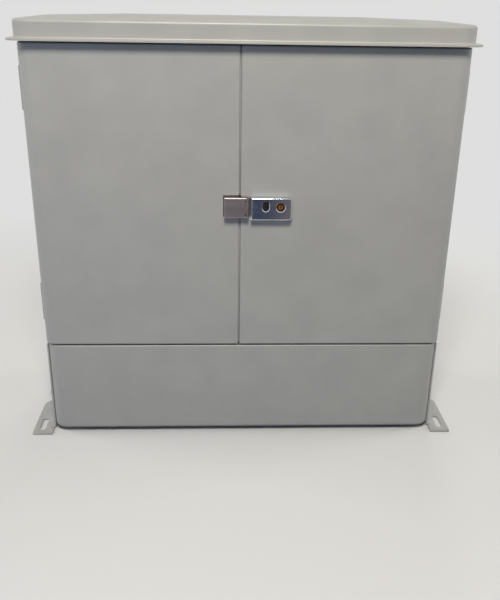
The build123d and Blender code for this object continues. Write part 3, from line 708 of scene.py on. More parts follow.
def extrude_ring(
    bm: BMesh, edges: list[BMEdge], marks: dict[BMVert, Mark]
) -> tuple[list[BMEdge], dict[BMVert, Mark]]:
    """Extrude a ring of edges and hand on what its vertices are marked with.

    Args:
        bm: The mesh it is in.
        edges: The ring's edges.
        marks: The mark of each of its vertices.

    Returns:
        The edges and the marks of the new ring.
    """
    fresh = bmesh.ops.extrude_edge_only(bm, edges=edges)["geom"]
    ring = [
        item for item in fresh
        if isinstance(item, BMEdge) and not any(vert in marks for vert in item.verts)
    ]
    handed_on = {
        vert: marks[edge.other_vert(vert)]
        for vert in fresh if isinstance(vert, BMVert)
        for edge in vert.link_edges if edge.other_vert(vert) in marks
    }
    return ring, handed_on


def add_turned(
    bm: BMesh,
    rings: Sequence[Ring],
    place: Matrix,
    segments: int = 24,
    closed: bool = False,
    straight_mm: float = 0.0,
) -> None:
    """Add a solid that runs from ring to ring about its axis.

    Args:
        bm: The mesh it goes into.
        rings: Its rings in order.
        place: Its place and direction.
        segments: Vertices in each ring.
        closed: Whether the last ring joins the first, as round a bore, instead of both being capped.
        straight_mm: Half of the straight stretch of an oblong piece, across its axis.
    """
    verts = bmesh.ops.create_circle(bm, cap_ends=False, segments=segments, radius=1.0)["verts"]
    angles = {vert: math.atan2(vert.co.y, vert.co.x) for vert in verts}
    first = edges = edges_of(verts)
    made: list[BMVert] = []
    for number, ring in enumerate(rings):
        if number:
            edges, angles = extrude_ring(bm, edges, angles)
        for vert, angle in angles.items():
            reach = ring.outline.reach(angle, ring.size)
            side = round(math.sin(angle), 6)
            shift = math.copysign(straight_mm, side) if side else 0.0
            vert.co = Vector((math.cos(angle) * reach, math.sin(angle) * reach + shift, ring.height)) * MM
        made += angles
    if closed:
        bmesh.ops.bridge_loops(bm, edges=first + edges)
    else:
        for end in (first, edges):
            bmesh.ops.edgeloop_fill(bm, edges=end)
    bmesh.ops.transform(bm, matrix=place, verts=made)


def ease_edges(bm: BMesh, edges: Sequence[BMEdge], width_mm: float, steps: int) -> None:
    """Round edges off, no wider than their faces allow.

    Args:
        bm: The mesh they are in.
        edges: The edges.
        width_mm: How far they are eased.
        steps: Facets across each of them.
    """
    bmesh.ops.bevel(
        bm,
        geom=edges,
        offset=width_mm * MM,
        segments=steps,
        affect="EDGES",
        profile=0.5,
        material=-1,
        clamp_overlap=True,
    )


def add_block(bm: BMesh, low_mm: Place, high_mm: Place, round_mm: float, steps: int = 1) -> None:
    """Add a block with eased edges.

    Args:
        bm: The mesh it goes into.
        low_mm: Its low corner.
        high_mm: Its high corner.
        round_mm: How far the edges are eased.
        steps: Facets across each eased edge.
    """
    low, high = Vector(low_mm) * MM, Vector(high_mm) * MM
    place = Matrix.Translation((low + high) / 2) @ Matrix.Diagonal((*(high - low), 1.0))
    verts = bmesh.ops.create_cube(bm, size=1.0, matrix=place)["verts"]
    ease_edges(bm, edges_of(verts), round_mm, steps)


def copy_along(bm: BMesh, shifts_mm: Sequence[Place]) -> None:
    """Copy all that a mesh holds to other places.

    Args:
        bm: The mesh.
        shifts_mm: How far each copy stands from the first.
    """
    geom = bm.verts[:] + bm.edges[:] + bm.faces[:]
    for shift in shifts_mm:
        fresh = bmesh.ops.duplicate(bm, geom=geom)["geom"]
        verts = [item for item in fresh if isinstance(item, BMVert)]
        bmesh.ops.translate(bm, vec=Vector(shift) * MM, verts=verts)


@dataclass
class SubAssembly:
    """A group of pieces that the frame carries, with its sizes in millimetres.

    Attributes:
        paints: Where its finishes come from.
    """

    paints: Paintbox

    def deliver(
        self, bm: BMesh, name: str, body: str, slot: str, replaces: Sequence[str] = ()
    ) -> Object:
        """Turn a finished mesh into a dressed piece that rides on its body.

        Args:
            bm: The mesh, freed here.
            name: The piece's name.
            body: The body that it rides on.
            slot: The slot of its material.
            replaces: Nodes of the frame that it is shown in place of.

        Returns:
            The new object.
        """
        bmesh.ops.remove_doubles(bm, verts=bm.verts[:], dist=WELD)
        bmesh.ops.recalc_face_normals(bm, faces=bm.faces[:])
        piece = add_mesh(bm, name, self.paints.of(slot))
        piece.data.shade_smooth()
        piece.data.set_sharp_from_angle(angle=SHARP)
        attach(piece, body)
        for node in replaces:
            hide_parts(node)
        LOG.info("built %s", name)
        return piece


# Fasteners


@dataclass(frozen=True)
class Bolt(ABC):
    """Bolt with its nut, in millimetres.

    Attributes:
        radius: That of the nut's bore.
        flat: Half of the nut's width across its flats.
        head: Height of the head.
        nut: Height of the nut.
        end: What the thread stands out of the nut.
        root: How far the shank reaches into the head.
        slack: How much thinner the shank is than the nut's bore.
        chamfer: Length and depth of the chamfer at the thread's end.
        segments: Facets round the head and the nut, and round the shank.
    """

    radius: float
    flat: float
    head: float
    nut: float
    end: float = 2.0
    root: float = 0.5
    slack: float = 0.0
    chamfer: tuple[float, float] = (0.7, 0.9)
    segments: tuple[int, int] = (24, 24)

    @abstractmethod
    def head_rings(self) -> list[Ring]:
        """Give the head's rings.

        Returns:
            The rings in order, from its seat up.
        """

    @abstractmethod
    def nut_rings(self, seat: float, foot: float) -> list[Ring]:
        """Give the nut's rings.

        Args:
            seat: Height of the face that presses on the work.
            foot: Height of its free face.

        Returns:
            The rings in order, round the bore.
        """

    def add(self, bm: BMesh, seat_mm: Place, facing: Facing, grip: float) -> None:
        """Add the bolt and its nut.

        Args:
            bm: The mesh they go into.
            seat_mm: Middle of the face under the head.
            facing: The way that the head points.
            grip: Thickness of what it holds.
        """
        foot = -grip - self.nut
        shank_end = foot - self.end
        thick = self.radius - self.slack
        length, depth = self.chamfer
        shank = [Ring(thick, self.root), Ring(thick, shank_end + length), Ring(thick - depth, shank_end)]
        place = facing.at(seat_mm)
        facets, shank_facets = self.segments
        add_turned(bm, self.head_rings(), place, facets)
        add_turned(bm, self.nut_rings(-grip, foot), place, facets, closed=True)
        add_turned(bm, shank, place, shank_facets)


@dataclass(frozen=True)
class FlangeBolt(Bolt):
    """Hexagon bolt with a dished head over a pressed flange, in millimetres.

    Attributes:
        flange: Radius of the flange.
        flange_edge: Thickness of its edge.
    """

    radius: float = 5.0
    flat: float = 8.5
    head: float = 6.5
    nut: float = 5.0
    flange: float = 10.0
    flange_edge: float = 0.9

    def head_rings(self) -> list[Ring]:
        """Give the rings of the dished head and its flange.

        Returns:
            The rings in order, from its seat up.
        """
        return [
            Ring(self.radius, 0.0),
            Ring(self.flange, 0.0),
            Ring(self.flange, self.flange_edge),
            Ring(self.flat * 1.07, self.flange_edge + 0.8),
            Ring(self.flat, self.flange_edge + 1.1, Outline.HEXAGON),
            Ring(self.flat, self.head - 0.9, Outline.HEXAGON),
            Ring(self.flat * 0.97, self.head - 0.3),
            Ring(self.flat * 0.72, self.head),
            Ring(self.flat * 0.66, self.head - 0.35),
        ]

    def nut_rings(self, seat: float, foot: float) -> list[Ring]:
        """Give the rings of a nut that is chamfered at both faces.

        Args:
            seat: Height of the face that presses on the work.
            foot: Height of its free face.

        Returns:
            The rings in order, round the bore.
        """
        return [
            Ring(self.radius, seat),
            Ring(self.flat * 0.98, seat),
            Ring(self.flat, seat - 0.7, Outline.HEXAGON),
            Ring(self.flat, foot + 0.8, Outline.HEXAGON),
            Ring(self.flat * 0.97, foot),
            Ring(self.radius * 1.08, foot),
            Ring(self.radius, foot + 0.5),
        ]


@dataclass(frozen=True)
class ButtonBolt(Bolt):
    """Button-head bolt with a hexagon socket, in millimetres.

    Attributes:
        head_radius: The head's.
        socket: Half of the socket's width across its flats.
    """

    radius: float = 3.0
    flat: float = 5.0
    head: float = 2.5
    nut: float = 3.0
    root: float = 0.3
    chamfer: tuple[float, float] = (0.5, 0.6)
    segments: tuple[int, int] = (12, 12)
    head_radius: float = 5.5
    socket: float = 1.8

    def head_rings(self) -> list[Ring]:
        """Give the rings of the domed head and its socket.

        Returns:
            The rings in order, from its seat up.
        """
        return [
            Ring(self.radius, 0.0),
            Ring(self.head_radius, 0.0),
            Ring(self.head_radius, self.head * 0.25),
            Ring(self.head_radius * 0.88, self.head * 0.65),
            Ring(self.head_radius * 0.66, self.head * 0.92),
            Ring(self.head_radius * 0.48, self.head),
            Ring(self.socket, self.head, Outline.HEXAGON),
            Ring(self.socket, self.head * 0.35, Outline.HEXAGON),
        ]

    def nut_rings(self, seat: float, foot: float) -> list[Ring]:
        """Give the rings of a nut that is chamfered at its free face.

        Args:
            seat: Height of the face that presses on the work.
            foot: Height of its free face.

        Returns:
            The rings in order, round the bore.
        """
        return [
            Ring(self.radius, seat),
            Ring(self.flat, seat, Outline.HEXAGON),
            Ring(self.flat, foot + 0.5, Outline.HEXAGON),
            Ring(self.flat * 0.95, foot),
            Ring(self.radius, foot),
        ]


@dataclass(frozen=True)
class ClampBolt(Bolt):
    """Hexagon bolt over a flat washer, in millimetres.

    Attributes:
        washer: Radius of the washer.
        washer_thick: Its thickness.
    """

    radius: float = 4.0
    flat: float = 6.5
    head: float = 5.3
    nut: float = 6.0
    end: float = 3.0
    root: float = 0.0
    slack: float = 0.2
    chamfer: tuple[float, float] = (1.0, 0.7)
    segments: tuple[int, int] = (24, 16)
    washer: float = 8.0
    washer_thick: float = 1.4

    def head_rings(self) -> list[Ring]:
        """Give the rings of the washer and the chamfered head.

        Returns:
            The rings in order, from its seat up.
        """
        seat = self.washer_thick + 0.2
        top = seat + self.head
        return [
            Ring(self.washer, 0.0),
            Ring(self.washer, self.washer_thick),
            Ring(self.flat * 1.02, seat),
            Ring(self.flat, seat + 0.3, Outline.HEXAGON),
            Ring(self.flat, top - 0.8, Outline.HEXAGON),
            Ring(self.flat * 0.96, top - 0.2),
            Ring(self.flat * 0.7, top),
        ]

    def nut_rings(self, seat: float, foot: float) -> list[Ring]:
        """Give the rings of a nut on a narrow washer face.

        Args:
            seat: Height of the face that presses on the work.
            foot: Height of its free face.

        Returns:
            The rings in order, round the bore.
        """
        return [
            Ring(self.radius, seat),
            Ring(self.flat * 1.05, seat),
            Ring(self.flat, seat - 0.8, Outline.HEXAGON),
            Ring(self.flat, foot + 0.6, Outline.HEXAGON),
            Ring(self.flat * 0.95, foot),
            Ring(self.radius, foot),
        ]


@dataclass(frozen=True)
class CrossScrew:
    """Head of a countersunk screw with a cross recess, in millimetres.

    Attributes:
        radius: The head's.
        height: How far it stands out of its seat.
        recess: Half of the cross's length.
        sunk: How far the foot lies under the seat.
    """

    radius: float = 3.6
    height: float = 0.9
    recess: float = 2.0
    sunk: float = 0.5

    def add(self, bm: BMesh, seat_mm: Place, facing: Facing) -> None:
        """Add the head.

        Args:
            bm: The mesh it goes into.
            seat_mm: Middle of the face that it stands on.
            facing: The way that it points.
        """
        rings = [
            Ring(self.radius * 0.9, -self.sunk),
            Ring(self.radius, 0.0),
            Ring(self.radius * 0.93, self.height * 0.6),
            Ring(self.radius * 0.74, self.height),
            Ring(self.recess, self.height, Outline.CROSS),
            Ring(self.recess * 0.8, -self.sunk * 0.6, Outline.CROSS),
        ]
        add_turned(bm, rings, facing.at(seat_mm))


@dataclass
class FootFixings(SubAssembly):
    """Bolts through the foot brackets and the plinth walls.

    Attributes:
        bolt: The kind of bolt.
        seat_x: How far the face under the heads is from the middle.
        grip: Thickness of bracket and wall.
        ys: Where they stand from front to back.
        zs: Their heights above the ground.
    """

    bolt: FlangeBolt = FlangeBolt()
    seat_x: float = 477.0
    grip: float = 9.0
    ys: tuple[float, ...] = (-102.5, 102.5)
    zs: tuple[float, ...] = (95.0, 195.0)

    def build(self) -> None:
        """Make all eight as one piece."""
        bm = bmesh.new()
        for side, facing in ((-1.0, Facing.LEFT), (1.0, Facing.RIGHT)):
            for y in self.ys:
                for z in self.zs:
                    self.bolt.add(bm, (side * self.seat_x, y, z), facing, self.grip)
        self.deliver(bm, "foot_bolt_set", "cabinet", "zinc_steel", replaces=("foot_bolts",))


@dataclass
class FootBrackets(SubAssembly):
    """Foot brackets with their sheared edges eased, as the paint leaves them.

    Attributes:
        ease: How far the edges are eased.
        steps: Facets across each of them.
        flat: Faces that differ by less are joined first, in radians.
        corner: Edges bent by more are eased, in radians.
    """

    ease: float = 0.7
    steps: int = 3
    flat: float = math.radians(0.5)
    corner: float = math.radians(40)

    def build(self) -> None:
        """Make an eased copy of each bracket."""
        for end in ("front", "rear"):
            for side in ("left", "right"):
                self._ease(f"foot_bracket_{end}_{side}")

    def _ease(self, node: str) -> None:
        """Make one bracket.

        Args:
            node: The frame's bracket.
        """
        bm = bmesh.new()
        bm.from_mesh(frame["nodes"][node].data)
        bmesh.ops.remove_doubles(bm, verts=bm.verts[:], dist=WELD)
        bmesh.ops.dissolve_limit(bm, angle_limit=self.flat, verts=bm.verts[:], edges=bm.edges[:])
        edges = [edge for edge in bm.edges if edge.is_manifold and edge.calc_face_angle() > self.corner]
        ease_edges(bm, edges, self.ease, self.steps)
        self.deliver(bm, f"eased_{node}", "cabinet", "painted_feet", replaces=(node,))


@dataclass
class PanelFixings(SubAssembly):
    """Bolts that hold the panels, the front header and the steel frame together.

    Attributes:
        bolt: The kind of bolt.
        panel_x: How far the back panel's bolts are from the middle.
        panel_y: The face under their heads.
        header_x: How far the header's bolts are from the middle.
        header_y: The face under their heads.
        lap: Thickness of two panels that lap.
        frame_x: How far the steel frame's bolts are from the middle.
        frame_y: The face under their heads.
        frame_grip: Thickness of an upright with a rail.
        panel_zs: Heights of the back panel's bolts.
        header_zs: Heights of the header's bolts.
        frame_zs: Heights of the steel frame's bolts.
    """

    bolt: ButtonBolt = ButtonBolt()
    panel_x: float = 419.0
    panel_y: float = 175.0
    header_x: float = 455.0
    header_y: float = -132.0
    lap: float = 10.0
    frame_x: float = 430.0
    frame_y: float = 57.5
    frame_grip: float = 5.0
    panel_zs: tuple[float, ...] = (281.0, 599.0, 917.0)
    header_zs: tuple[float, ...] = (898.0, 914.0)
    frame_zs: tuple[float, ...] = (322.0, 398.0, 860.0)

    def build(self) -> None:
        """Make the panel bolts and the frame bolts, each set as one piece."""
        panels, rails = bmesh.new(), bmesh.new()
        for side in (-1.0, 1.0):
            for z in self.panel_zs:
                self.bolt.add(panels, (side * self.panel_x, self.panel_y, z), Facing.BACK, self.lap)
            for z in self.header_zs:
                self.bolt.add(panels, (side * self.header_x, self.header_y, z), Facing.FRONT, self.lap)
            for z in self.frame_zs:
                self.bolt.add(rails, (side * self.frame_x, self.frame_y, z), Facing.FRONT, self.frame_grip)
        self.deliver(panels, "panel_bolt_set", "cabinet", "zinc_steel", replaces=("panel_bolts",))
        self.deliver(rails, "rail_bolt_set", "cabinet", "zinc_steel", replaces=("frame_bolts",))


@dataclass
class HingeScrews(SubAssembly):
    """Screw heads on the hinge leaves of the jambs and of the doors.

    Attributes:
        screw: The kind of screw.
        pitch: From one screw of a leaf to the next.
        jamb_x: How far the screws on the jambs are from the middle.
        jamb_y: The face that they stand on.
        door_x: How far the face of the doors' leaves is from the middle.
        door_y: Where their screws stand from front to back.
    """

    screw: CrossScrew = CrossScrew()
    pitch: float = 33.0
    jamb_x: float = 463.0
    jamb_y: float = -133.8
    door_x: float = 468.2
    door_y: float = -141.5

    def build(self) -> None:
        """Make one piece for the jambs and one for each door."""
        levels = []
        for end in ("bottom", "top"):
            low, high = node_box_mm(f"left_door_leaf_{end}")
            levels += [(low.z + high.z) / 2 + step * self.pitch for step in (-1, 0, 1)]
        jambs = bmesh.new()
        for side, name, facing in ((-1.0, "left", Facing.RIGHT), (1.0, "right", Facing.LEFT)):
            door = bmesh.new()
            for z in levels:
                self.screw.add(jambs, (side * self.jamb_x, self.jamb_y, z), Facing.FRONT)
                self.screw.add(door, (side * self.door_x, self.door_y, z), facing)
            self.deliver(door, f"{name}_door_hinge_screws", f"{name}_door", "hinge_steel")
        self.deliver(jambs, "jamb_hinge_screws", "cabinet", "hinge_steel")


# Equipment


class PlateRow(NamedTuple):
    """Upright plates side by side on a ledge, in millimetres.

    Attributes:
        count: How many there are.
        thick: How thick each is.
        set_back: How far they start behind the module's front.
        margin: What they leave free of the ledge below and above.
        ease: How far their edges are eased.
    """

    count: int
    thick: float
    set_back: float
    margin: float
    ease: float


@dataclass
class TerminalColumns(SubAssembly):
    """Wiring combs, contact blades and blank labels of the terminal modules.

    Attributes:
        column_xs: Middle of each column.
        modules: How many stand in a column.
        pitch: From one module to the next.
        height: A module's height.
        first_z: Foot of the lowest module.
        front_y: Front of the modules.
        ledge_y: Back wall of their ledges.
        ledge: Height of a ledge.
        plate_pitch: From one plate of a row to the next.
        sunk: How far plates and labels reach into the module.
        fins: Plastic fins of the combs.
        blades: Contact blades between the fins.
        label: Width, height and thickness of a label.
        label_ease: How far its edges are eased.
    """

    column_xs: tuple[float, ...] = (-270.0, -90.0, 90.0, 270.0)
    modules: int = 13
    pitch: float = 38.0
    height: float = 34.0
    first_z: float = 386.0
    front_y: float = 3.0
    ledge_y: float = 15.0
    ledge: float = 6.0
    plate_pitch: float = 4.6
    sunk: float = 0.5
    fins: PlateRow = PlateRow(count=21, thick=1.4, set_back=1.0, margin=0.3, ease=0.25)
    blades: PlateRow = PlateRow(count=20, thick=0.7, set_back=4.0, margin=0.6, ease=0.12)
    label: tuple[float, float, float] = (84.0, 12.0, 0.8)
    label_ease: float = 0.6

    def build(self) -> None:
        """Make the combs with the labels as one piece, and the blades as another."""
        combs, blades = bmesh.new(), bmesh.new()
        self._plates(combs, self.fins)
        self._label(combs)
        self._plates(blades, self.blades)
        first = self.column_xs[0]
        for bm, name, slot in (
            (combs, "terminal_combs", "terminal_plastic"),
            (blades, "contact_blades", "hinge_steel"),
        ):
            copy_along(bm, [(0.0, 0.0, number * self.pitch) for number in range(1, self.modules)])
            copy_along(bm, [(x - first, 0.0, 0.0) for x in self.column_xs[1:]])
            self.deliver(bm, name, "cabinet", slot)

    def _plates(self, bm: BMesh, row: PlateRow) -> None:
        """Add a row of plates on both ledges of the lowest module of the first column.

        Args:
            bm: The mesh they go into.
            row: The plates.
        """
        x0 = self.column_xs[0] - (row.count - 1) / 2 * self.plate_pitch
        front, back = self.front_y + row.set_back, self.ledge_y + self.sunk
        for foot in (self.first_z, self.first_z + self.height - self.ledge):
            for number in range(row.count):
                x = x0 + number * self.plate_pitch
                low = (x - row.thick / 2, front, foot + row.margin)
                high = (x + row.thick / 2, back, foot + self.ledge - row.margin)
                add_block(bm, low, high, row.ease)

    def _label(self, bm: BMesh) -> None:
        """Add the label of the lowest module of the first column.

        Args:
            bm: The mesh it goes into.
        """
        width, height, thick = self.label
        x, middle = self.column_xs[0], self.first_z + self.height / 2
        low = (x - width / 2, self.front_y - thick, middle - height / 2)
        high = (x + width / 2, self.front_y + self.sunk, middle + height / 2)
        add_block(bm, low, high, self.label_ease, steps=2)


@dataclass
class EarthConnection(SubAssembly):
    """Clamping bolts of the earth bar and the ribbed insulators under it.

    Attributes:
        bolt: The kind of bolt.
        bolts: How many stand on the bar.
        pitch: From one bolt to the next.
        y: Middle line of the bar.
        bar_low: Its lower face.
        bar_high: Its upper face.
        screw: Radius of the pan heads over the insulators.
        screw_height: Their height.
        recess: Half of the length of their cross.
        standoff_x: How far they stand from the middle.
        ribs: Ribs of an insulator.
    """

    bolt: ClampBolt = ClampBolt()
    bolts: int = 7
    pitch: float = 37.5
    y: float = 130.0
    bar_low: float = 278.0
    bar_high: float = 284.0
    screw: float = 5.0
    screw_height: float = 3.0
    recess: float = 2.6
    standoff_x: float = 131.25
    ribs: int = 3

    def build(self) -> None:
        """Make the bolts as one piece and the insulators as another."""
        bm = bmesh.new()
        for number in range(self.bolts):
            seat = ((number - (self.bolts - 1) / 2) * self.pitch, self.y, self.bar_high)
            self.bolt.add(bm, seat, Facing.UP, self.bar_high - self.bar_low)
        for side in (-1.0, 1.0):
            self._screw(bm, side * self.standoff_x)
        self.deliver(bm, "earth_clamping_bolts", "cabinet", "zinc_steel")
        self._insulators()

    def _screw(self, bm: BMesh, x: float) -> None:
        """Add the pan-head screw that holds the bar on one insulator.

        Args:
            bm: The mesh it goes into.
            x: Where it stands along the bar.
        """
        rings = [
            Ring(self.screw - 1.6, -0.5),
            Ring(self.screw, 0.0),
            Ring(self.screw, self.screw_height / 2),
            Ring(self.screw - 1.1, self.screw_height - 0.2),
            Ring(self.recess, self.screw_height, Outline.CROSS),
            Ring(self.recess - 0.5, self.screw_height * 0.4, Outline.CROSS),
        ]
        add_turned(bm, rings, Facing.UP.at((x, self.y, self.bar_high)))

    def _insulators(self) -> None:
        """Make both ribbed insulators as one piece."""
        low, high = node_box_mm("earth_standoffs")
        radius = (high.y - low.y) / 2
        height = high.z - low.z
        flute, pitch = radius * 0.78, height / self.ribs
        rings = []
        for number in range(self.ribs):
            foot = number * pitch
            rings += [
                Ring(radius, foot + 0.4 if number else 0.0),
                Ring(radius, foot + pitch * 0.45),
                Ring(flute, foot + pitch * 0.62),
                Ring(flute, foot + pitch * 0.86),
            ]
        rings += [Ring(radius * 0.92, height - 0.8), Ring(radius * 0.88, height)]
        bm = bmesh.new()
        for x in (low.x + radius, high.x - radius):
            add_turned(bm, rings, Facing.UP.at((x, (low.y + high.y) / 2, low.z)), segments=32)
        self.deliver(bm, "ribbed_insulators", "cabinet", "insulator", replaces=("earth_standoffs",))


@dataclass
class CableEntries(SubAssembly):
    """Rubber sleeves in the bottom plate, turned with a soft lip and a groove for the plate.

    Attributes:
        count: How many there are.
        bore: Radius of the bore.
        neck: Radius in the groove.
        groove: Width of the groove.
        lip: How far the bore widens at its ends.
    """

    count: int = 4
    bore: float = 20.0
    neck: float = 29.7
    groove: float = 2.3
    lip: float = 1.6

    def build(self) -> None:
        """Make each sleeve as a piece of its own."""
        for number in range(1, self.count + 1):
            node = f"cable_sleeve_{number}"
            low, high = node_box_mm(node)
            collar = (high.x - low.x) / 2
            height = high.z - low.z
            groove_low, groove_high = (height - self.groove) / 2, (height + self.groove) / 2
            rings = [
                Ring(self.bore + self.lip, 0.0),
                Ring(collar - 1.2, 0.0),
                Ring(collar, 1.2),
                Ring(collar, groove_low - 0.5),
                Ring(collar - 0.5, groove_low),
                Ring(self.neck, groove_low),
                Ring(self.neck, groove_high),
                Ring(collar - 0.5, groove_high),
                Ring(collar, groove_high + 0.5),
                Ring(collar - 0.6, height - 1.6),
                Ring(collar - 3.0, height - 0.5),
                Ring(self.bore + self.lip * 1.6, height),
                Ring(self.bore + 0.3, height - 0.8),
                Ring(self.bore, height - 2.4),
                Ring(self.bore, self.lip),
            ]
            bm = bmesh.new()
            middle = (low + high) / 2
            add_turned(bm, rings, Facing.UP.at((middle.x, middle.y, low.z)), segments=48, closed=True)
            self.deliver(bm, f"cable_entry_{number}", "cabinet", "rubber", replaces=(node,))


# Doors


@dataclass
class DoorSeals(SubAssembly):
    """Bulb seal round the door opening and sponge strips between the doors.

    Attributes:
        base: Half of the bulb seal's width.
        strip_breaks: Where the strips leave room for the lock.
        strip_round: How far their edges are eased.
    """

    base: float = 5.0
    strip_breaks: tuple[float, float] = (559.0, 611.0)
    strip_round: float = 0.6

    def build(self) -> None:
        """Make the bulb seal and the strips."""
        self._bulb()
        low, high = node_box_mm("meeting_seal")
        bm = bmesh.new()
        for foot, head in ((low.z, self.strip_breaks[0]), (self.strip_breaks[1], high.z)):
            add_block(bm, (low.x, low.y, foot), (high.x, high.y, head), self.strip_round, 2)
        self.deliver(bm, "sponge_strips", "left_door", "grey_rubber", replaces=("meeting_seal",))

    def _bulb(self) -> None:
        """Make the bulb seal, mitred at its corners."""
        low, high = node_box_mm("frame_seal")
        thick = high.y - low.y
        half_x = (high.x - low.x) / 2 - self.base
        half_z = (high.z - low.z) / 2 - self.base
        middle_x, middle_z = (low.x + high.x) / 2, (low.z + high.z) / 2
        # Points across the seal and out of it, as shares of half its width and of its thickness.
        profile = (
            (-1.0, 0.0), (-1.0, 0.2), (-0.68, 0.3), (-0.62, 0.62), (-0.38, 0.9), (0.0, 1.0),
            (0.38, 0.9), (0.62, 0.62), (0.68, 0.3), (1.0, 0.2), (1.0, 0.0),
        )
        bm = bmesh.new()
        verts = bmesh.ops.create_circle(bm, cap_ends=False, segments=len(profile), radius=1.0)["verts"]
        points = dict(zip(verts, profile))
        first = edges = edges_of(verts)
        for number, (side_x, side_z) in enumerate(((-1, -1), (1, -1), (1, 1), (-1, 1))):
            if number:
                edges, points = extrude_ring(bm, edges, points)
            for vert, (across, out) in points.items():
                x = middle_x + side_x * (half_x + across * self.base)
                z = middle_z + side_z * (half_z + across * self.base)
                vert.co = Vector((x, high.y - out * thick, z)) * MM
        bmesh.ops.bridge_loops(bm, edges=first + edges)
        self.deliver(bm, "bulb_seal", "cabinet", "rubber", replaces=("frame_seal",))


@dataclass
class RecordsPocket(SubAssembly):
    """Rolled hem and rivets of the document pocket.

    Attributes:
        sheet: Thickness of the pocket's sheet.
        hem: Radius of the hem.
        hem_drop: How far its axis lies under the top of the pocket.
        rivet: Radius of the rivets' heads.
        rivet_height: Their height.
        rivet_from_end: How far they are from the pocket's edges.
    """

    sheet: float = 1.5
    hem: float = 1.6
    hem_drop: float = 0.4
    rivet: float = 3.2
    rivet_height: float = 1.2
    rivet_from_end: float = 18.0

    def build(self) -> None:
        """Make the hem with the rivets as one piece."""
        low, high = node_box_mm("document_pocket")
        bm = bmesh.new()
        length = high.x - low.x
        rings = [
            Ring(self.hem * 0.6, 0.0),
            Ring(self.hem, 0.6),
            Ring(self.hem, length - 0.6),
            Ring(self.hem * 0.6, length),
        ]
        place = Facing.RIGHT.at((low.x, high.y - self.sheet / 2, high.z - self.hem_drop))
        add_turned(bm, rings, place, segments=16)
        dome = [
            Ring(self.rivet, -0.3),
            Ring(self.rivet, 0.15),
            Ring(self.rivet * 0.8, self.rivet_height * 0.7),
            Ring(self.rivet * 0.4, self.rivet_height),
        ]
        for x in (low.x + self.rivet_from_end, high.x - self.rivet_from_end):
            for z in (low.z + self.rivet_from_end, high.z - self.rivet_from_end):
                add_turned(bm, dome, Facing.BACK.at((x, high.y, z)), segments=16)
        self.deliver(bm, "pocket_hem", "left_door", "zinc_steel")


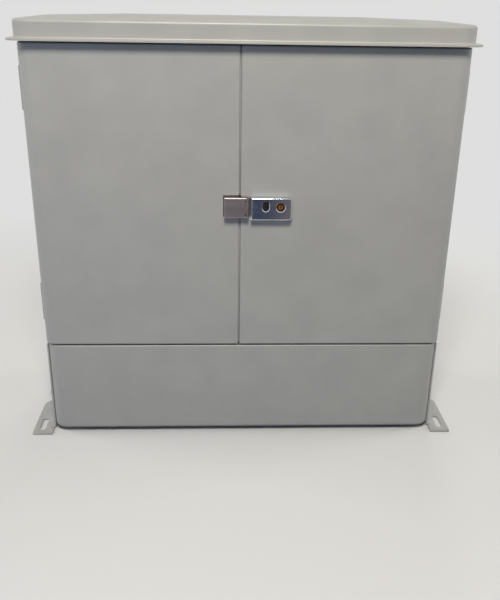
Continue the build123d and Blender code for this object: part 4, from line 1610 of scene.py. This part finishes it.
@dataclass
class DoorLock(SubAssembly):
    """Push button with its spring, key cylinder and fixing nuts of the surface lock.

    Attributes:
        button_width: Width of the oblong button.
        flange: Width and thickness of its retaining flange.
        push: How far it goes in.
        wire: Radius of the spring's wire.
        wire_facets: Facets round that wire.
        coils: The spring's turns.
        coil_steps: Steps in each turn.
        play: Play of the key plug in its bore.
        keyway: Half of the keyway's length.
        keyway_depth: Its depth.
        stud_xs: Where the lock's studs come through the door.
        stud_z: Their height above the ground.
        skin_y: Inner face of the door's skin.
        nut_flat: Half of the nuts' width across flats.
        nut: Their height.
        stud: Radius of the studs.
    """

    button_width: float = 14.0
    flange: float = 2.0
    push: float = 3.0
    wire: float = 0.6
    wire_facets: int = 10
    coils: int = 3
    coil_steps: int = 32
    play: float = 0.1
    keyway: float = 4.5
    keyway_depth: float = 5.0
    stud_xs: tuple[float, ...] = (19.0, 60.5)
    stud_z: float = 582.5
    skin_y: float = -170.0
    nut_flat: float = 5.5
    nut: float = 4.5
    stud: float = 3.0

    def build(self) -> None:
        """Make the button, the spring, the cylinder and the nuts."""
        self._button()
        self._spring()
        self._cylinder()
        self._nuts()

    def _button(self) -> None:
        """Make the domed oblong button with its retaining flange."""
        low, high = node_box_mm("lock_button")
        radius = self.button_width / 2
        collar = radius + self.flange
        straight = (high.z - low.z) / 2 - collar
        depth = high.y - low.y
        rings = [
            Ring(collar - 0.3, 0.0),
            Ring(collar, 0.3),
            Ring(collar, self.flange - 0.3),
            Ring(collar - 0.3, self.flange),
            Ring(radius, self.flange),
            Ring(radius, depth - 1.2),
            Ring(radius * 0.93, depth - 0.7),
            Ring(radius * 0.78, depth - 0.35),
            Ring(radius * 0.5, depth - 0.1),
            Ring(radius * 0.2, depth),
        ]
        bm = bmesh.new()
        middle = (low + high) / 2
        place = Facing.FRONT.at((middle.x, high.y, middle.z))
        add_turned(bm, rings, place, segments=40, straight_mm=straight)
        self.deliver(bm, "push_button", "lock_button", "dark_button", replaces=("lock_button",))

    def _spring(self) -> None:
        """Wind the coil spring that the button presses together."""
        low, high = node_box_mm("button_spring")
        middle = (low + high) / 2
        mean = (high.x - low.x) / 2 - self.wire
        bm = bmesh.new()
        start = Vector((middle.x + mean, low.y + self.wire, middle.z)) * MM
        verts = bmesh.ops.create_circle(
            bm,
            cap_ends=True,
            segments=self.wire_facets,
            radius=self.wire * MM,
            matrix=Matrix.Translation(start),
        )["verts"]
        steps = self.coil_steps * self.coils
        rise = (high.y - low.y - 2 * self.wire) / steps
        bmesh.ops.spin(
            bm,
            geom=bm.faces[:] + bm.edges[:] + verts,
            cent=Vector((middle.x, low.y, middle.z)) * MM,
            axis=(0.0, 1.0, 0.0),
            dvec=(0.0, rise * MM, 0.0),
            angle=2 * math.pi * self.coils,
            steps=steps,
        )
        spring = self.deliver(bm, "coil_spring", "right_door", "hinge_steel", replaces=("button_spring",))
        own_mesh(spring)

    def _cylinder(self) -> None:
        """Make the key cylinder with the groove round its plug and the keyway."""
        low, high = node_box_mm("key_cylinder")
        radius = (high.x - low.x) / 2 - self.play
        length = high.y - low.y
        plug = radius * 0.6
        slot = Outline.KEYWAY
        rings = [
            Ring(radius, 0.0),
            Ring(radius, length - 0.6),
            Ring(radius - 0.6, length),
            Ring(radius - 1.0, length),
            Ring(radius - 1.4, length - 2.2),
            Ring(plug + 0.2, length - 2.2),
            Ring(plug, length - 0.2),
            Ring(plug - 0.4, length),
            Ring(self.keyway, length, slot),
            Ring(self.keyway, length - self.keyway_depth, slot),
        ]
        bm = bmesh.new()
        middle = (low + high) / 2
        add_turned(bm, rings, Facing.FRONT.at((middle.x, high.y, middle.z)), segments=48)
        self.deliver(bm, "key_plug", "key_cylinder", "brass", replaces=("key_cylinder",))

    def _nuts(self) -> None:
        """Make the nuts on the lock's studs, behind the skin of the door."""
        bm = bmesh.new()
        hexagon = Outline.HEXAGON
        rings = [
            Ring(self.stud, 0.0),
            Ring(self.nut_flat * 1.3, 0.0),
            Ring(self.nut_flat * 1.3, 0.9),
            Ring(self.nut_flat * 1.02, 1.0),
            Ring(self.nut_flat, 1.3, hexagon),
            Ring(self.nut_flat, 0.5 + self.nut, hexagon),
            Ring(self.nut_flat * 0.95, 1.0 + self.nut),
            Ring(self.stud, 1.0 + self.nut),
        ]
        for x in self.stud_xs:
            add_turned(bm, rings, Facing.BACK.at((x, self.skin_y, self.stud_z)), closed=True)
        self.deliver(bm, "lock_stud_nuts", "right_door", "zinc_steel")


# Camera, light and floor


@dataclass
class Camera:
    """The photograph's camera, from a fit to the cabinet's outline.

    Attributes:
        place: Where it stands.
        pitch: How far it looks down, in radians.
        yaw: How far it looks to the left, in radians.
        roll: How far it leans to the left, in radians.
        focal_px: Its focal length in pixels of the photograph.
        middle_px: Where its axis meets the picture.
        image_px: Size of the picture.
        sensor_mm: Width of its sensor.
    """

    place: Place = (-0.05297, -1.80914, 1.01495)
    pitch: float = 0.4011
    yaw: float = -0.0464
    roll: float = 0.0173
    focal_px: float = 749.5
    middle_px: tuple[float, float] = (254.29, 315.06)
    image_px: tuple[float, float] = (500.0, 600.0)
    sensor_mm: float = 36.0

    def build(self) -> None:
        """Make the camera and set it as the scene's."""
        long_side = max(self.image_px)
        data = bpy.data.cameras.new("camera")
        data.sensor_width = self.sensor_mm
        data.lens = self.focal_px / long_side * self.sensor_mm
        data.shift_x = (self.image_px[0] / 2 - self.middle_px[0]) / long_side
        data.shift_y = (self.middle_px[1] - self.image_px[1] / 2) / long_side
        camera = add_object("camera", data)
        turn = Matrix.Rotation(self.yaw, 4, "Z")
        turn @= Matrix.Rotation(math.pi / 2 - self.pitch, 4, "X")
        turn @= Matrix.Rotation(self.roll, 4, "Z")
        camera.matrix_world = Matrix.Translation(self.place) @ turn
        bpy.context.scene.camera = camera


@dataclass(frozen=True)
class Lamp:
    """One soft lamp.

    Attributes:
        name: What the lamp does.
        place: Where it hangs.
        size: Length of its square side.
        power: Its power in watts.
        target: What it points at.
        tint: Its colour, sRGB hex.
        mirrored: Whether glossy surfaces show it.
    """

    name: str
    place: Place
    size: float
    power: float
    target: Place = (0.0, 0.0, 0.5)
    tint: str = "#FFFCF6"
    mirrored: bool = True

    def build(self) -> None:
        """Hang the lamp."""
        data = bpy.data.lights.new(self.name, "AREA")
        data.shape = "SQUARE"
        data.size = self.size
        data.energy = self.power
        data.color = colour(self.tint)[:3]
        lamp = add_object(self.name, data)
        lamp.visible_camera = False
        lamp.visible_glossy = self.mirrored
        way = Vector(self.target) - Vector(self.place)
        lamp.matrix_world = Matrix.Translation(self.place) @ way.to_track_quat("-Z", "Y").to_matrix().to_4x4()


def straight_rays(tree: NodeTree) -> NodeSocket:
    """Tell the rays that show a surface from those that carry its light on.

    Args:
        tree: The tree that needs to know.

    Returns:
        1 for a ray from the camera, a mirror or a pane, and 0 for any other.
    """
    path = add_node(tree, "ShaderNodeLightPath")
    either = path.outputs["Is Camera Ray"]
    for kind in ("Is Glossy Ray", "Is Transmission Ray"):
        links = {0: either, 1: path.outputs[kind]}
        either = add_node(tree, "ShaderNodeMath", {"operation": "MAXIMUM"}, links=links).outputs["Value"]
    return either


@dataclass
class Studio:
    """Pale floor that runs out into a pale backdrop, soft lamps and an even surround.

    Attributes:
        floor_colour: The floor as it is seen, sRGB hex.
        floor_bounce: Its colour for the light that it throws on, sRGB hex.
        floor_roughness: The roughness of its paint.
        floor_side: Length of its sides.
        floor_clear: How far from the middle it starts to fade into the backdrop.
        floor_gone: How far from the middle it has become the backdrop.
        surround: Colour of the even light from all sides, sRGB hex.
        surround_strength: How strong that light is.
        backdrop: Colour behind the object, sRGB hex.
        card_side: Width of the dark card, which glows and is seen only in reflections.
        card_height: Its height above the floor.
        card_y: Where it stands.
        card_span: Where its tones start and end, from left to right.
        card_tones: Each tone's place in that span as a share of it, and its sRGB hex colour. They are
        painted reflections: grey on the lever, dark blue on the chrome and a darker sheen on the doors.
        lamps: The soft lamps.
    """

    floor_colour: str = "#DCDDDE"
    floor_bounce: str = "#626E80"
    floor_roughness: float = 0.85
    floor_side: float = 400.0
    floor_clear: float = 0.7
    floor_gone: float = 2.3
    surround: str = "#E3E1DB"
    surround_strength: float = 0.31
    backdrop: str = "#DEDFDE"
    card_side: float = 2.6
    card_height: float = 0.75
    card_y: float = -1.2
    card_span: tuple[float, float] = (-0.1, 0.3)
    # The card's tones are painted reflections: grey on the lever, dark blue on the chrome, a darker sheen on
    # the doors.
    card_tones: tuple[tuple[float, str], ...] = (
        (0.0, "#B2ABAC"), (0.27, "#A7A0A2"), (0.35, "#465069"), (0.5, "#4A5062"), (0.78, "#7E7978"),
    )
    lamps: tuple[Lamp, ...] = (
        Lamp("key", (-0.15, -2.15, 2.8), size=0.8, power=74.0, target=(0.0, 0.0, 0.82), tint="#FFF9F0"),
        Lamp("low_front", (-1.2, -2.3, 0.3), size=1.0, power=5.5, target=(0.0, 0.0, 0.0), tint="#7FB0FF"),
        Lamp("left_side", (-3.0, 0.5, 1.1), size=1.2, power=28.0, mirrored=False),
        Lamp("right_side", (3.0, 0.5, 1.1), size=1.2, power=28.0, mirrored=False),
        Lamp("back", (0.5, 3.0, 0.9), size=1.4, power=46.0, mirrored=False),
    )

    def build(self) -> None:
        """Set up the whole studio."""
        self._floor()
        self._world()
        self._card()
        for lamp in self.lamps:
            lamp.build()
        bpy.context.scene.view_settings.view_transform = "Standard"

    def _sheet(self, name: str, place: Matrix, paint: Material) -> Object:
        """Make a flat sheet from a square of one metre on the ground.

        Args:
            name: The sheet's name.
            place: Its size, turn and place.
            paint: Its material.

        Returns:
            The new object.
        """
        bm = bmesh.new()
        bmesh.ops.create_grid(bm, x_segments=1, y_segments=1, size=0.5, matrix=place)
        return add_mesh(bm, name, paint)

    def _floor(self) -> None:
        """Lay the plain pale floor."""
        size = Matrix.Diagonal((self.floor_side, self.floor_side, 1.0, 1.0))
        floor = self._sheet("floor", size, self._floor_paint())

    def _floor_paint(self) -> Material:
        """Mix matt floor paint that fades into the backdrop with the distance.

        Returns:
            The floor's material.
        """
        material = new_material("matt_floor_paint")
        tree = material.node_tree
        straight = straight_rays(tree)
        tone = add_node(
            tree,
            "ShaderNodeMix",
            settings={"data_type": "RGBA"},
            values={FIRST_COLOUR: colour(self.floor_bounce), SECOND_COLOUR: colour(self.floor_colour)},
            links={0: straight},
        )
        paint = add_node(
            tree,
            "ShaderNodeBsdfPrincipled",
            values={"Roughness": self.floor_roughness},
            links={"Base Color": tone.outputs[MIXED_COLOUR]},
        )
        place = add_node(tree, "ShaderNodeTexCoord").outputs["Object"]
        reach = add_node(tree, "ShaderNodeVectorMath", settings={"operation": "LENGTH"}, links={0: place})
        far = add_node(
            tree,
            "ShaderNodeMapRange",
            settings={"interpolation_type": "SMOOTHSTEP"},
            values={"From Min": self.floor_clear, "From Max": self.floor_gone},
            links={"Value": reach.outputs["Value"]},
        )
        fade = add_node(
            tree,
            "ShaderNodeMath",
            settings={"operation": "MULTIPLY"},
            links={0: far.outputs["Result"], 1: straight},
        )
        glow = add_node(tree, "ShaderNodeEmission", values={"Color": colour(self.backdrop)})
        mix = add_node(
            tree,
            "ShaderNodeMixShader",
            links={0: fade.outputs["Value"], 1: paint.outputs["BSDF"], 2: glow.outputs["Emission"]},
        )
        add_node(tree, "ShaderNodeOutputMaterial", links={"Surface": mix.outputs["Shader"]})
        return material

    def _card(self) -> None:
        """Stand a glowing card in front of the cabinet, seen only in reflections, whose tones are painted
        reflections on the lock and the doors.
        """
        size = Matrix.Diagonal((self.card_side, self.card_height, 1.0, 1.0))
        upright = Matrix.Rotation(math.radians(90), 4, "X")
        place = Matrix.Translation((0.0, self.card_y, self.card_height / 2)) @ upright @ size
        card = self._sheet("dark_card", place, self._card_glow())
        card.visible_camera = False
        card.visible_diffuse = False
        card.visible_shadow = False
        card.visible_transmission = False

    def _card_glow(self) -> Material:
        """Mix the card's glow, which runs from a grey through a dark blue to a grey, for painted reflections.

        Returns:
            The card's material.
        """
        material = new_material("dark_card_glow")
        tree = material.node_tree
        place = add_node(tree, "ShaderNodeTexCoord").outputs["Object"]
        across = add_node(tree, "ShaderNodeSeparateXYZ", links={0: place})
        left, right = self.card_span
        share = add_node(
            tree,
            "ShaderNodeMapRange",
            values={"From Min": left, "From Max": right},
            links={"Value": across.outputs["X"]},
        )
        tones = add_node(tree, "ShaderNodeValToRGB", links={0: share.outputs["Result"]})
        ramp = tones.color_ramp.elements
        while len(ramp) < len(self.card_tones):
            ramp.new(1.0)
        for stop, (position, tone) in zip(ramp, self.card_tones):
            stop.position = position
            stop.color = colour(tone)
        # The card glows in these tones, and the lock and the doors show them as painted reflections.
        card_glow = add_node(tree, "ShaderNodeEmission", links={"Color": tones.outputs["Color"]})
        add_node(tree, "ShaderNodeOutputMaterial", links={"Surface": card_glow.outputs["Emission"]})
        return material

    def _world(self) -> None:
        """Light the object evenly and show a pale backdrop to the camera and to mirrors."""
        world = bpy.data.worlds.new("surround")
        world.use_nodes = True
        tree = world.node_tree
        tree.nodes.clear()
        values = {"Color": colour(self.surround), "Strength": self.surround_strength}
        light = add_node(tree, "ShaderNodeBackground", values=values)
        seen = add_node(tree, "ShaderNodeBackground", values={"Color": colour(self.backdrop)})
        mix = add_node(
            tree,
            "ShaderNodeMixShader",
            links={0: straight_rays(tree), 1: light.outputs["Background"], 2: seen.outputs["Background"]},
        )
        add_node(tree, "ShaderNodeOutputWorld", links={"Surface": mix.outputs["Shader"]})
        bpy.context.scene.world = world


def main() -> None:
    """Build the cabinet's looks around its frame."""
    logging.basicConfig(level=logging.INFO, format="%(name)s: %(message)s")
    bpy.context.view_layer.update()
    Camera().build()
    Studio().build()
    paints = Paintbox()
    paints.dress_frame()
    for assembly in (
        FootBrackets, FootFixings, PanelFixings, HingeScrews, TerminalColumns, EarthConnection,
        CableEntries, DoorSeals, RecordsPocket, DoorLock,
    ):
        assembly(paints).build()


if __name__ == "__main__":
    main()
